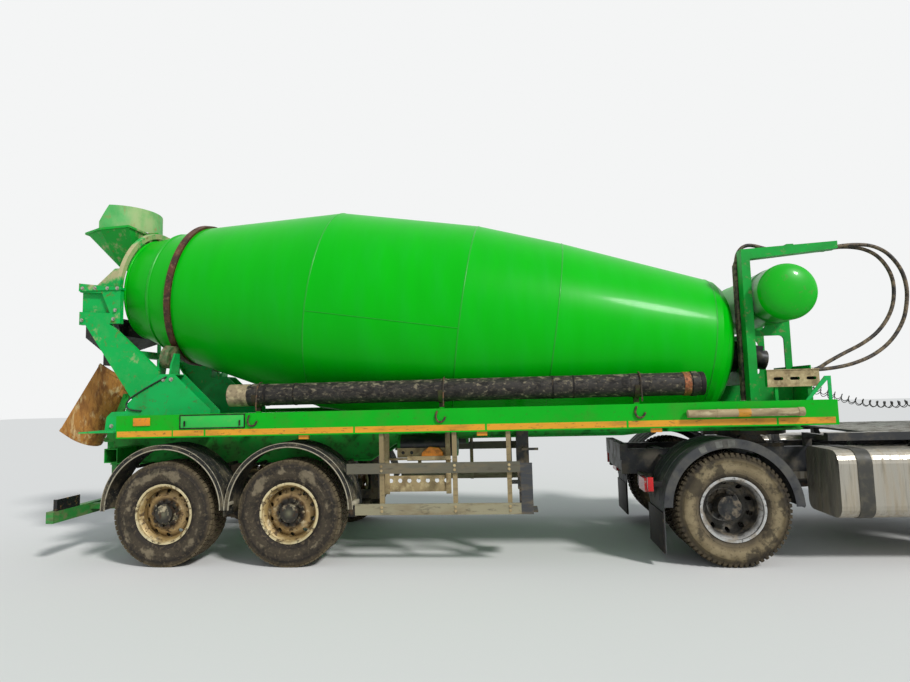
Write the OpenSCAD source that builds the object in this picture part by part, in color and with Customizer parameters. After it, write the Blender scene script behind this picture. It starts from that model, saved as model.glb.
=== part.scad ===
// Concrete mixer semi-trailer on its two-axle tractor unit.
// Lengths are in millimetres. X runs forward, Y to the left, Z up from the ground.
// Stations along X are counted from the trailer's rear axle.

/* [Layout] */
// Middle of the whole length, ahead of the trailer's rear axle
mid_x = 4370; // [4100:1:4600]
// Distance between the trailer's axles
axle_gap = 1310; // [1250:10:1400]
// Tractor's drive axle, ahead of the trailer's rear axle
drive_x = 5560; // [5400:10:5700]
// Kingpin, ahead of the drive axle
kingpin_lead = 520; // [450:10:600]
// Distance between the tractor's axles
wheelbase = 3700; // [3600:10:3900]
// Width over the side rails
body_w = 2500; // [2400:10:2550]

/* [Wheels] */
// Radius of every tyre where it stands
tyre_r = 522; // [505:1:535]
// Width of the trailer's single tyres
single_w = 380; // [350:5:390]
// Width of the tractor's tyres
tractor_tyre_w = 300; // [280:5:310]
// Distance between the middles of a pair of twin tyres
twin_gap = 345; // [335:5:360]
// Radius of a rim over its lips
rim_lip_r = 300; // [295:1:302]
// Middle of a trailer tyre, out from the centre line
trailer_track = 1050; // [1030:5:1060]
// Middle of an outer drive tyre, out from the centre line
drive_track = 1085; // [1070:5:1095]
// Middle of a front tyre, out from the centre line
steer_track = 1025; // [1000:5:1035]
// Number of wheel nuts
nuts = 10; // [8:1:10]

/* [Drum] */
// Downward lean of the drum's axis towards the front, in degrees
drum_tilt = 8.58; // [6:0.01:12]
// Middle of the drum's mouth, ahead of the trailer's rear axle
mouth_x = -873; // [-950:1:-800]
// Height of the middle of the mouth
mouth_z = 3051; // [2950:1:3100]
// Radius of the mouth
mouth_r = 600; // [560:5:620]
// Largest radius of the drum
drum_r = 1178; // [1150:1:1190]
// Thickness of the drum's wall
drum_wall = 8; // [6:1:12]
// Radius of the track that the rollers carry
track_r = 870; // [865:1:880]
// Width of that track
track_w = 70; // [60:5:80]
// Depth of the domed front end
dish_depth = 360; // [300:5:380]
// Radius of the support rollers
roller_r = 130; // [120:1:135]
// Place of each roller round the track, in degrees from the lowest point
roller_angle = 37; // [34:1:40]

/* [Trailer frame] */
// Height of the main beams' top
beam_top = 1345; // [1330:5:1350]
// Height of the main beams' bottom over the axles
beam_low = 960; // [930:5:1000]
// Height of the coupler plate's underside
coupler_z = 1200; // [1195:1:1210]
// Middle of each main beam, out from the centre line
beam_y = 555; // [550:5:570]
// Width of the main beams' flanges
flange_w = 110; // [100:5:115]
// Bottom of the side rails
rail_low = 1290; // [1280:5:1310]
// Top of the side rails
rail_top = 1520; // [1500:5:1540]

/* [Discharge] */
// Slope of the chute below level, in degrees
chute_slope = 58; // [55:1:60]
// Inner radius of the chute
chute_r = 225; // [210:5:235]
// Length of the chute
chute_len = 950; // [900:10:980]
// Swivel axis of the chute, ahead of the trailer's rear axle
swivel_x = -1380; // [-1400:5:-1360]

/* [Fittings] */
// Radius of the water tank
water_r = 285; // [250:5:300]
// Length of the water tank over its domes
water_len = 1900; // [1700:10:1960]
// Radius of the stowed pipe
pipe_r = 115; // [100:5:118]
// Radius of a hydraulic hose
hose_r = 19; // [16:1:22]
// Radius of a coiled air line over its turns
coil_r = 38; // [30:1:45]

/* [Tractor] */
// Height of the tractor frame's top
frame_top = 1020; // [1000:5:1040]
// Depth of the tractor's frame rails
frame_h = 260; // [240:5:280]
// Half the width over the frame rails
frame_y = 425; // [415:5:430]
// Length of the cab
cab_len = 1800; // [1700:10:1850]
// Width of the cab
cab_w = 2300; // [2260:10:2340]
// Height of the cab's roof
cab_top = 2950; // [2900:10:3050]
// Height of the cab's floor
cab_floor = 1420; // [1400:5:1450]
// Thickness of the cab's walls and doors
cab_wall = 50; // [40:5:60]
// Gap round a door
door_gap = 8; // [6:1:12]

/* [Hidden] */
$fn = 64;
seat_gap = 0.3;
axle_z = tyre_r;
half_w = body_w / 2;
kingpin_x = drive_x + kingpin_lead;
steer_x = drive_x + wheelbase;
rim_seat_r = rim_lip_r - 15;

// Drum sections: distance along the axis from the mouth, outer radius
drum_sections = [[0, mouth_r], [684, 835], [2378, drum_r], [3981, drum_r], [4947, 1073], [6573, 830]];
dish_s = 6573;
dish_r = 830;
track_s = 684;
nose_s = dish_s + dish_depth;
roller_reach = track_r + roller_r + seat_gap;

// Wheel places: name index, station, middle across the lorry
trailer_axles_x = [0, axle_gap];

// Shared shapes

function arc(c, r, a0, a1, n = 8) =
    [for (i = [0:n]) let (a = a0 + (a1 - a0) * i / n) [c[0] + r * cos(a), c[1] + r * sin(a)]];

// Corner p of a polygon, rounded to radius r between its neighbours a and b
function corner(a, p, b, r, n) =
    let (u = (a - p) / norm(a - p), v = (b - p) / norm(b - p), half = acos(u * v) / 2,
         c = p + (u + v) / norm(u + v) * r / sin(half),
         s = p + u * r / tan(half) - c, e = p + v * r / tan(half) - c,
         a0 = atan2(s[1], s[0]), d = atan2(e[1], e[0]) - a0,
         turn = d > 180 ? d - 360 : d < -180 ? d + 360 : d)
    [for (i = [0:n]) c + r * [cos(a0 + turn * i / n), sin(a0 + turn * i / n)]];

// Polygon points given as [x, y, corner radius]
function rounded(pts, n = 4) = let (m = len(pts))
    [for (i = [0:m - 1]) let (p = pts[i], q = [p[0], p[1]],
        a = pts[(i + m - 1) % m], b = pts[(i + 1) % m])
        each (p[2] > 0 ? corner([a[0], a[1]], q, [b[0], b[1]], p[2], n) : [q])];

module place() { translate([-mid_x, 0, 0]) children(); }
module both() { children(); mirror([0, 1, 0]) children(); }
module box(x, y, z) {
    translate([x[0], y[0], z[0]]) cube([x[1] - x[0], y[1] - y[0], z[1] - z[0]]);
}
// A profile in X and Z, as thick as y
module side_plate(y) { translate([0, y[1], 0]) rotate([90, 0, 0]) linear_extrude(y[1] - y[0]) children(); }
// A profile in Y and Z, as thick as x
module cross_plate(x) { translate([x[0], 0, 0]) rotate([90, 0, 90]) linear_extrude(x[1] - x[0]) children(); }
module along_y(r, y) { translate([0, y[1], 0]) rotate([90, 0, 0]) cylinder(r = r, h = y[1] - y[0]); }
module along_x(r, x) { translate([x[0], 0, 0]) rotate([0, 90, 0]) cylinder(r = r, h = x[1] - x[0]); }
// Turned about Y, with the profile's second coordinate pointing outwards to the left
module turned_y(side = 1) { rotate([-90 * side, 0, 0]) rotate_extrude() children(); }

// Tube through rings of equal length, closed at both ends
module swept(rings) {
    m = len(rings[0]);
    n = len(rings);
    pts = [for (r = rings) each r];
    walls = [for (i = [0:n - 2], j = [0:m - 1]) let (k = (j + 1) % m)
        [i * m + j, i * m + k, (i + 1) * m + k, (i + 1) * m + j]];
    polyhedron(pts, concat(walls, [[for (j = [m - 1:-1:0]) j], [for (j = [0:m - 1]) (n - 1) * m + j]]),
        convexity = 6);
}
function unit(v) = v / norm(v);
// Rings of radius r round a route, square to it
function tube_rings(route, r, sides = 8) = let (n = len(route))
    [for (i = [0:n - 1]) let (t = unit(route[min(i + 1, n - 1)] - route[max(i - 1, 0)]),
        u = unit(cross(t, [0, 1, 0])), v = cross(t, u))
        [for (j = [0:sides - 1]) route[i] + r * (u * cos(360 * j / sides) + v * sin(360 * j / sides))]];

// Wheels

// Half the section of a tyre: radius, distance from its middle plane
module tyre_section(w) {
    h = w / 2;
    polygon([for (side = [1, -1], p = side == 1
        ? [[rim_seat_r + seat_gap, h - 46], [rim_lip_r + 4, h - 38], [rim_lip_r + 30, h - 14],
           [(rim_lip_r + tyre_r) / 2, h], [tyre_r - 50, h - 10], [tyre_r - 12, h - 22], [tyre_r, h - 44]]
        : [[tyre_r, h - 44], [tyre_r - 12, h - 22], [tyre_r - 50, h - 10], [(rim_lip_r + tyre_r) / 2, h],
           [rim_lip_r + 30, h - 14], [rim_lip_r + 4, h - 38], [rim_seat_r + seat_gap, h - 46]])
        [p[0], p[1] * side]]);
}
module tyre(w) { rotate_extrude() tyre_section(w); }

// Barrel of a rim with its two lips, for a tyre of width w
module rim_barrel(w) {
    h = w / 2 - 45 - seat_gap;
    rotate_extrude() polygon([[rim_seat_r, -h], [rim_lip_r, -h - 7], [rim_lip_r, -h - 16], [rim_seat_r - 9, -h - 16],
        [rim_seat_r - 9, -h + 12], [rim_seat_r - 40, -h + 50], [rim_seat_r - 40, h - 50], [rim_seat_r - 9, h - 12],
        [rim_seat_r - 9, h + 16], [rim_lip_r, h + 16], [rim_lip_r, h + 7], [rim_seat_r, h],
        [rim_seat_r, h - 12], [rim_seat_r - 30, h - 50], [rim_seat_r - 30, 50 - h], [rim_seat_r, 12 - h]]);
}
// Dished disc: outer face of its middle at height z, meeting the barrel at height edge
module rim_dish(z, edge) {
    back = z - 14;
    rotate_extrude() polygon([[0, back], [150, back], [190, back + (edge - z) * 0.3], [rim_seat_r - 34, edge - 12],
        [rim_seat_r - 34, edge], [196, z + (edge - z) * 0.3], [156, z], [0, z]]);
}
// Dish with its hand holes and nuts, and the hub with its bearing bore
module rim_disc(z, edge, hub_r, hub_out, hub_in, bore_r, holes = 10) {
    difference() {
        union() {
            rim_dish(z, edge);
            translate([0, 0, z - 1]) cylinder(r = hub_r, h = hub_out);
            translate([0, 0, z - 14 - hub_in]) cylinder(r = 190, h = hub_in + 1);
            for (i = [0:nuts - 1]) rotate(360 * i / nuts) translate([130, 0, z - 1]) cylinder(r = 17, h = 32);
        }
        for (i = [0:holes - 1]) rotate(360 * (i + 0.5) / holes)
            translate([222, 0, min(z, edge) - 40]) cylinder(r = 22, h = abs(z - edge) + 60);
        translate([0, 0, z - 15 - hub_in]) cylinder(r = bore_r, h = hub_in + hub_out - 30);
    }
}
spindle_r = 50;
spindle_fit = 0.5;
// The outer side of a wheel faces the left when side is 1
module on_axle(x, y, side) {
    translate([x, y * side, axle_z]) rotate([-90 * side, 0, 0]) children();
}
trailer_disc_z = 95;
module trailer_tyre(x, side) { color("#2b2a29") place() on_axle(x, trailer_track, side) tyre(single_w); }
module trailer_rim(x, side) {
    color("#b39a72") place() on_axle(x, trailer_track, side) {
        rim_barrel(single_w);
        rim_disc(trailer_disc_z, trailer_disc_z - 55, 92, 62, 200, spindle_r + spindle_fit);
    }
}
module trailer_tyre_rear_left() { trailer_tyre(0, 1); }
module trailer_rim_rear_left() { trailer_rim(0, 1); }
module trailer_tyre_rear_right() { trailer_tyre(0, -1); }
module trailer_rim_rear_right() { trailer_rim(0, -1); }
module trailer_tyre_front_left() { trailer_tyre(axle_gap, 1); }
module trailer_rim_front_left() { trailer_rim(axle_gap, 1); }
module trailer_tyre_front_right() { trailer_tyre(axle_gap, -1); }
module trailer_rim_front_right() { trailer_rim(axle_gap, -1); }

steer_disc_z = 105;
module steer_tyre(side) { color("#2b2a29") place() on_axle(steer_x, steer_track, side) tyre(tractor_tyre_w); }
module steer_rim(side) {
    color("silver") place() on_axle(steer_x, steer_track, side) {
        rim_barrel(tractor_tyre_w);
        rim_disc(steer_disc_z, steer_disc_z - 60, 80, 60, 130, spindle_r + spindle_fit);
    }
}
module steer_tyre_left() { steer_tyre(1); }
module steer_rim_left() { steer_rim(1); }
module steer_tyre_right() { steer_tyre(-1); }
module steer_rim_right() { steer_rim(-1); }

drive_disc_z = 14 - twin_gap / 2;
module drive_tyres(side) {
    color("#2b2a29") place() on_axle(drive_x, drive_track, side) {
        tyre(tractor_tyre_w);
        translate([0, 0, -twin_gap]) tyre(tractor_tyre_w);
    }
}
module drive_rims(side) {
    color("silver") place() on_axle(drive_x, drive_track, side) {
        rim_barrel(tractor_tyre_w);
        translate([0, 0, -twin_gap]) rim_barrel(tractor_tyre_w);
        rim_disc(drive_disc_z, -45, 110, 190, 160, spindle_r + spindle_fit);
        translate([0, 0, -twin_gap]) mirror([0, 0, 1]) difference() {
            rim_dish(-twin_gap / 2 + 14, -45);
            translate([0, 0, -400]) cylinder(r = 120, h = 500);
        }
    }
}
module drive_tyres_left() { drive_tyres(1); }
module drive_rims_left() { drive_rims(1); }
module drive_tyres_right() { drive_tyres(-1); }
module drive_rims_right() { drive_rims(-1); }

// Drum, built along its own axis from the mouth

module on_drum() { place() translate([mouth_x, 0, mouth_z]) rotate([0, 90 + drum_tilt, 0]) children(); }
function drum_out(s) = lookup(s, drum_sections);

module drum_shell() {
    dome = [for (i = [1:8]) [dish_r * cos(90 * i / 8), dish_s + dish_depth * sin(90 * i / 8)]];
    outer = concat([for (p = drum_sections) [p[1], p[0]]], dome);
    inner = [for (i = [len(outer) - 1:-1:0]) let (p = outer[i])
        p[1] >= dish_s ? [max(p[0] - drum_wall, 0), p[1] - drum_wall] : [p[0] - drum_wall, p[1]]];
    color("#16c42c") on_drum() {
        rotate_extrude() polygon(concat(outer, inner));
        // Rolled rim of the mouth
        rotate_extrude() translate([mouth_r + 2, 8]) circle(r = 16);
        // Drive flange and its shaft
        translate([0, 0, nose_s - 12]) cylinder(r = 170, h = 42);
        translate([0, 0, nose_s + 29]) cylinder(r = 60, h = 60);
    }
}
module roller_track() {
    a = track_s - track_w / 2;
    b = track_s + track_w / 2;
    color("#6b4a33") on_drum() rotate_extrude()
        polygon([[drum_out(a) + seat_gap, a], [track_r, a], [track_r, b], [drum_out(b) + seat_gap, b],
            [drum_out(track_s) + seat_gap, track_s]]);
}
blade_pitch = 1100;
blade_len = 2200;
blade_w = 230;
blade_t = 8;
blade_step = 15;
module drum_blades() {
    steps = floor(360 * blade_len / blade_pitch / blade_step);
    color("#6d6a60") on_drum() for (start = [0, 180]) swept([for (i = [0:steps])
        let (a = start + i * blade_step, s = 40 + blade_len * i / steps,
             ro = drum_out(s) - drum_wall - 2 * seat_gap, ri = ro - blade_w)
        [for (q = [[ro, 0], [ri, 0], [ri, blade_t], [ro, blade_t]])
            [q[0] * cos(a), q[0] * sin(a), s + q[1]]]]);
}
pin_r = 25;
module on_roller(side) {
    on_drum() translate([roller_reach * cos(roller_angle), side * roller_reach * sin(roller_angle), track_s])
        children();
}
module roller(side) {
    color("#5c5a55") on_roller(side) difference() {
        union() {
            translate([0, 0, -45]) cylinder(r = roller_r, h = 90);
            translate([0, 0, -55]) cylinder(r = 55, h = 110);
        }
        translate([0, 0, -60]) cylinder(r = pin_r + 0.4, h = 120);
    }
}
module roller_left() { roller(1); }
module roller_right() { roller(-1); }

// Trailer frame

frame_rear = -1000;
frame_front = 6500;
neck_z = coupler_z + 12;
beam_steps = [[frame_rear, beam_low], [2000, beam_low], [2350, neck_z - 30], [4700, neck_z - 30], [5000, neck_z],
    [frame_front, neck_z]];
// Crossmembers: station, bottom, top
cross_members = [[-940, 1230, 1330], [-400, 1230, 1330], [655, 1230, 1330], [1900, 1200, 1300], [2700, 1170, 1250],
    [3640, 1170, 1215], [4700, 1190, 1235], [6240, 1212, 1330], [6440, 1212, 1330]];
outriggers_x = [-300, 655, 1900, 2700, 3500, 4400, 5200, 6440];
outrigger_z = [1300, 1332];
flange_t = 16;
web_t = 14;
bearing_z = [1000, 1180];
post_r = 45;

module main_beam() {
    low = [for (p = beam_steps) [p[0], p[1] + flange_t]];
    y = [beam_y - flange_w / 2, beam_y + flange_w / 2];
    side_plate(y) polygon(concat(beam_steps, [for (i = [len(low) - 1:-1:0]) low[i]]));
    side_plate([beam_y - web_t / 2, beam_y + web_t / 2])
        polygon(concat(low, [[frame_front, beam_top - flange_t], [frame_rear, beam_top - flange_t]]));
    box([frame_rear, frame_front], y, [beam_top - flange_t, beam_top]);
}
tank_z = 1130;
tank_y = 770;
module air_tank() {
    translate([2350, tank_y, tank_z]) along_x(115, [0, 620]);
    for (x = [2480, 2800]) box([x, x + 30], [beam_y, tank_y], [tank_z + 70, tank_z + 110]);
}
module trailer_frame() {
    color("#12a826") place() difference() {
        union() {
            both() main_beam();
            both() air_tank();
            for (c = cross_members) box([c[0] - 30, c[0] + 30], [-beam_y, beam_y], [c[1], c[2]]);
            both() for (x = outriggers_x)
                box([x - 25, x + 25], [beam_y, half_w - rail_t - seat_gap], outrigger_z);
            // Coupler plate and kingpin
            box([5900, frame_front], [-beam_y + 1, beam_y - 1], [coupler_z, coupler_z + 13]);
            translate([kingpin_x, 0, coupler_z - 84]) cylinder(r = 36, h = 30);
            translate([kingpin_x, 0, coupler_z - 60]) cylinder(r = 25.4, h = 62);
            // Square tube across the tail, and the beams' rear ends down to it
            box([-800, -650], [-1000, 1000], [1020, 1170]);
            box([frame_rear, frame_rear + 60], [-beam_y, beam_y], [1020, 1200]);
            // Bearing of the chute's post
            box([swivel_x, frame_rear + 30], [-60, 60], [bearing_z[0] + 20, bearing_z[1] - 20]);
            translate([swivel_x, 0, bearing_z[0]]) cylinder(r = 75, h = bearing_z[1] - bearing_z[0]);
        }
        translate([swivel_x, 0, bearing_z[0] - 1]) cylinder(r = post_r + seat_gap, h = 200);
        box([-790, -660], [-1001, 1001], [1030, 1160]);
    }
}
rail_rear = -500;
rail_front = 6530;
rail_t = 8;
pipe_y = -1100;
pipe_z = 1700;
pipe_x = [650, 5390];
cradle_places = [950, 2850, 4750];
module side_rails() {
    color("#19b52e") place() {
        both() {
            box([rail_rear, rail_front], [half_w - rail_t, half_w], [rail_low, rail_top]);
            box([rail_rear, rail_front], [half_w - 80, half_w], [rail_top - rail_t, rail_top]);
            box([rail_rear, rail_front], [half_w - 80, half_w], [rail_low, rail_low + rail_t]);
            box([300, 5850], [half_w - 260, half_w - 60], [rail_top - rail_t, rail_top]);
        }
        // Cradles of the stowed pipe
        for (x = cradle_places) {
            box([x - 25, x + 25], [pipe_y - 15, pipe_y + 15], [rail_top - 1, pipe_z - pipe_r - 5]);
            translate([x - 25, pipe_y, pipe_z]) rotate([90, 0, 90]) linear_extrude(50) difference() {
                circle(r = pipe_r + 14);
                circle(r = pipe_r + seat_gap);
                translate([-200, 0]) square([400, 200]);
            }
        }
    }
}
module stowed_pipe() {
    color("#3a3733") place() translate([0, pipe_y, pipe_z]) rotate([0, 90, 0]) difference() {
        union() {
            translate([0, 0, pipe_x[0]]) cylinder(r = pipe_r - 4, h = pipe_x[1] - pipe_x[0]);
            for (x = cradle_places) translate([0, 0, x - 60]) cylinder(r = pipe_r, h = 120);
            translate([0, 0, pipe_x[1] - 120]) cylinder(r = pipe_r + 6, h = 50);
        }
        translate([0, 0, pipe_x[0] - 1]) cylinder(r = pipe_r - 16, h = pipe_x[1] - pipe_x[0] + 2);
    }
}
leg_x = 3640;
leg_foot = 485;
leg_y = 930;
module landing_legs() {
    color("#2f3133") place() {
        both() translate([leg_x, leg_y, 0]) {
            box([-60, 60], [-60, 60], [700, 1325]);
            box([-48, 48], [-48, 48], [leg_foot + 10, 701]);
            box([-130, 130], [-130, 130], [leg_foot, leg_foot + 15]);
            box([-40, 40], [beam_y + web_t / 2 + seat_gap - leg_y, -55], [1235, 1300]);
        }
        translate([leg_x, 0, 1000]) along_y(18, [55 - leg_y, leg_y - 55]);
        // Crank on the right
        translate([leg_x, 0, 1100]) along_y(12, [-leg_y - 150, -leg_y - 55]);
        box([leg_x - 12, leg_x + 150], [-leg_y - 150, -leg_y - 138], [1088, 1112]);
    }
}

// Rear: pedestal, discharge frame, hopper, funnel, chute

ped_top = 1960;
ped_y = [520, 752];
plate_t = 12;
// Lower edge of the discharge arm, from its heel to its tip; the pedestal's plate stops just under it
arm_heel = [-667, 1690];
arm_tip = [-340, 1975];
arm_rise = (arm_tip[1] - arm_heel[1]) / (arm_tip[0] - arm_heel[0]);
function under_arm(x) = arm_heel[1] + (x - arm_heel[0]) * arm_rise - 2 * seat_gap;
ped_foot = beam_top + seat_gap;
ped_front = arm_heel[0] + (ped_top + 2 * seat_gap - arm_heel[1]) / arm_rise;
ped_pts = [[-980, ped_foot, 0], [-960, 1500, 40], [-900, 1556, 40], [-740, 1556, 20],
    [-712, under_arm(-712), 0], [ped_front, ped_top, 0], [-180, ped_top, 20], [245, 1556, 20],
    [245, ped_foot, 0]];
module rear_pedestal() {
    color("#14b029") {
        place() {
            both() {
                side_plate([ped_y[1] - plate_t, ped_y[1]]) polygon(rounded(ped_pts));
                side_plate([ped_y[0], ped_y[0] + plate_t])
                    polygon([[-640, ped_foot], [245, ped_foot], [245, 1540], [-180, ped_top],
                        [-340, ped_top], [-640, 1700]]);
                box([-340, -180], ped_y, [ped_top - plate_t, ped_top]);
                box([-980, 245], [beam_y - 40, half_w - 90], [ped_foot, beam_top + 13]);
                box([-660, -640], ped_y, [ped_foot + 1, 1690]);
            }
            // Beam between the two sides, clear under the drum
            box([-640, -500], [-ped_y[0] - 5, ped_y[0] + 5], [1420, 1620]);
        }
        // Lugs and pin of each roller
        both() on_roller(1) {
            for (z = [-85, 65]) translate([0, 0, z]) linear_extrude(20)
                polygon([[-50, -45], [-50, 45], [70, 80], [215, 80], [215, -75], [70, -75]]);
            translate([0, 0, -86]) cylinder(r = pin_r, h = 172);
        }
    }
}
head_x = [-1320, -830];
head_y = [690, 752];
head_z = [2550, 2935];
// Plate of the head's window, and of the arm down to the pedestal
window_pts = [[-1330, 2925], [-1054, 2905], [-951, 2670], [-1330, 2700]];
arm_pts = [[-1248, head_z[0] + 1], [-960, head_z[0] + 1], [-371, 2010], arm_tip, arm_heel];
module discharge_frame() {
    color("#14b029") {
        place() {
            both() {
                // Head with its window
                difference() {
                    box(head_x, head_y, head_z);
                    box([head_x[0] - 1, head_x[1] - plate_t], [head_y[0] + plate_t, head_y[1] - plate_t],
                        [head_z[0] + plate_t, head_z[1] - plate_t]);
                    side_plate([head_y[1] - plate_t - 1, head_y[1] + 1]) polygon(window_pts);
                }
                box([head_x[0] - 5, head_x[1] + 14], [head_y[0] - 10, head_y[1] + 14], [head_z[1] - 1, head_z[1] + 24]);
                side_plate([head_y[1] - 2, head_y[1] + 12]) polygon([[head_x[0] - 5, head_z[1]],
                    [head_x[1] + 14, head_z[1]], [head_x[1] + 14, head_z[1] + 20], [head_x[0] - 5, head_z[1] + 90]]);
                // Arm: web and two flanges
                side_plate([head_y[1] - plate_t, head_y[1]]) polygon(arm_pts);
                side_plate(head_y) polygon([[-1248, head_z[0] + 1], [-1232, head_z[0] + 1],
                    [arm_heel[0] + 16, arm_heel[1] + 14], arm_heel]);
                side_plate(head_y) polygon([[-976, head_z[0] + 1], [-960, head_z[0] + 1], [-371, 2010], [-387, 2010]]);
                // Sloping plate from the head to the collar
                translate([0, 0, 0]) side_plate([head_y[0] - 30, head_y[0] - 20])
                    polygon([[-1240, head_z[1] + 20], [-900, head_z[1] + 20], [-850, 3200], [-960, 3200]]);
                box([-1240, -900], [head_y[0] - 30, head_y[0]], [head_z[1] + 10, head_z[1] + 24]);
            }
            box([-800, -720], [-head_y[1] + 2, head_y[1] - 2], [2170, 2250]);
            // Ladder on the left
            for (x = [-1310, -1030]) box([x, x + 40], [head_y[1] - 1, head_y[1] + 30], [1000, head_z[0] + 200]);
            for (z = [1100:300:2600]) box([-1290, -1010], [head_y[1] + 1, head_y[1] + 25], [z, z + 25]);
        }
        // Collar over the drum's mouth
        on_drum() translate([0, 0, collar_s[0]]) rotate([0, 0, 80]) rotate_extrude(angle = 200)
            translate([collar_r[0], 0]) square([collar_r[1] - collar_r[0], collar_s[1] - collar_s[0]]);
    }
}
// Collar: inner and outer radius, first and last place along the drum's axis
collar_r = [645, 705];
collar_s = [-40, 10];

// Hopper: plan of its rim, height of the rim, plan and height of its outlet
hop_rim = [[-1620, 280], [-1330, 440], [-930, 490]];
hop_z = 3760;
hop_out = [[-1230, -1000], [-200, 200], 3330];
hop_t = 6;
module hop_plan(inset) {
    offset(delta = -inset) polygon(concat(hop_rim, [for (i = [2:-1:0]) [hop_rim[i][0], -hop_rim[i][1]]]));
}
module hop_body(inset, up) {
    hull() {
        translate([0, 0, hop_z - 1 + up]) linear_extrude(1) hop_plan(inset);
        box([hop_out[0][0] + inset, hop_out[0][1] - inset], [hop_out[1][0] + inset, hop_out[1][1] - inset],
            [hop_out[2] - up, hop_out[2] + 1 - up]);
    }
}
module feed_hopper() {
    color("#17b92c") place() {
        difference() {
            union() {
                hop_body(0, 0);
                translate([0, 0, hop_z - 25]) linear_extrude(25) hop_plan(-12);
            }
            hop_body(hop_t, 1);
        }
        // Spout down into the mouth: floor and two sides
        side_plate([-170, 170]) polygon([[-1235, 3331], [-1225, 3331], [-735, 3040], [-742, 3030]]);
        both() side_plate([164, 172]) polygon([[-1232, 3331], [-1002, 3331], [-735, 3200], [-735, 3036]]);
        // Feet on the collar
        difference() {
            both() side_plate([120, 132]) polygon([[-945, hop_z - 2], [-780, hop_z - 2], [-780, hop_z - 60],
                [-955, hop_z - 120]]);
            translate([mouth_x, 0, mouth_z]) rotate([0, 90 + drum_tilt, 0])
                translate([0, 0, collar_s[0] - seat_gap]) cylinder(r = collar_r[1] + seat_gap, h = 90);
        }
    }
}
flap_x = -1330;
flap_r = 455;
flap_z = [hop_z + seat_gap, 4045];
module hopper_flap() {
    color("#5fae4a") place() difference() {
        translate([flap_x, 0, flap_z[0]]) rotate([0, 0, -90]) rotate_extrude(angle = 180)
            translate([flap_r - 5, 0]) square([5, flap_z[1] - flap_z[0]]);
        // Ends cut back towards the top
        side_plate([-600, 600]) polygon([[flap_x - 10, flap_z[0] + 60], [flap_x + 120, flap_z[1] + 10],
            [flap_x - 10, flap_z[1] + 10]]);
    }
}
fun_top = [[-1500, -980], [-400, 400], 2440];
fun_out = [[-1470, -1270], [-120, 120], 2280];
fun_end = 2120;
module frustum(top, low, t) {
    hull() {
        box([top[0][0] + t, top[0][1] - t], [top[1][0] + t, top[1][1] - t], [top[2] - 1, top[2]]);
        box([low[0][0] + t, low[0][1] - t], [low[1][0] + t, low[1][1] - t], [low[2], low[2] + 1]);
    }
}
module drop_funnel() {
    w = 10;
    color("#26272a") place() {
        difference() {
            union() {
                frustum(fun_top, fun_out, 0);
                box(fun_out[0], fun_out[1], [fun_end, fun_out[2] + 1]);
            }
            translate([0, 0, 1]) frustum(fun_top, fun_out, w);
            box([fun_out[0][0] + w, fun_out[0][1] - w], [fun_out[1][0] + w, fun_out[1][1] - w],
                [fun_end - 1, fun_out[2] + 20]);
        }
        // Guards at the back and the sides
        box([fun_top[0][0], fun_top[0][0] + w], fun_top[1], [fun_top[2] - 1, 2750]);
        both() side_plate([fun_top[1][1] - w, fun_top[1][1]])
            polygon([[fun_top[0][0], fun_top[2] - 1], [-1060, fun_top[2] - 1], [-1120, 2750], [fun_top[0][0], 2750]]);
        both() box([-1290, -1220], [fun_top[1][1] - 1, head_y[0] - seat_gap], [2640, 2700]);
    }
}
pivot_s = 200;
pivot_n = 300;
chute_top = [-1300, 2060];
function chute_point(s, n) = [chute_top[0] - s * cos(chute_slope) + n * sin(chute_slope),
    chute_top[1] - s * sin(chute_slope) - n * cos(chute_slope)];
pivot = chute_point(pivot_s, pivot_n);
module chute_swivel() {
    y = 150;
    color("#17a82b") place() union() {
        translate([swivel_x, 0, bearing_z[0] - 40]) cylinder(r = post_r, h = 270);
        translate([swivel_x, 0, bearing_z[1] + seat_gap]) cylinder(r = 105, h = 50);
        translate([swivel_x, 0, bearing_z[0] - 35]) cylinder(r = 65, h = 30);
        both() side_plate([y - 20, y]) polygon(rounded([[swivel_x - 30, bearing_z[1] + 5, 0],
            [swivel_x + 95, bearing_z[1] + 5, 0], [pivot[0] + 42, pivot[1] - 20, 20],
            [pivot[0] + 28, pivot[1] + 32, 20], [pivot[0] - 28, pivot[1] + 32, 20], [pivot[0] - 42, pivot[1] - 20, 20]]));
        box([swivel_x - 30, swivel_x + 95], [-y, y], [bearing_z[1] + 6, bearing_z[1] + 49]);
        translate([pivot[0], 0, pivot[1]]) along_y(18, [-y - 15, y + 15]);
    }
}
module chute() {
    h = 150;
    w = 8;
    color("#a98f63") place() translate([chute_top[0], 0, chute_top[1]]) rotate([0, 180 - chute_slope, 0]) {
        // Trough: U section along its length, with bands at both ends
        rotate([90, 0, 90]) linear_extrude(chute_len) chute_section(h, chute_r, w);
        for (s = [0, chute_len - 40]) translate([s, 0, 0]) rotate([90, 0, 90]) linear_extrude(40)
            chute_section(h, chute_r + 2, 14);
        // Ears on the pivot pin
        for (y = [-118, 98]) difference() {
            union() {
                translate([pivot_s, y + 20, pivot_n]) rotate([90, 0, 0]) cylinder(r = 38, h = 20);
                box([pivot_s - 38, pivot_s + 38], [y, y + 20], [chute_r - 40, pivot_n]);
            }
            translate([pivot_s, y + 21, pivot_n]) rotate([90, 0, 0]) cylinder(r = 18 + seat_gap, h = 22);
            rotate([0, 90, 0]) cylinder(r = chute_r + 3, h = 900);
        }
    }
}
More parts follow.
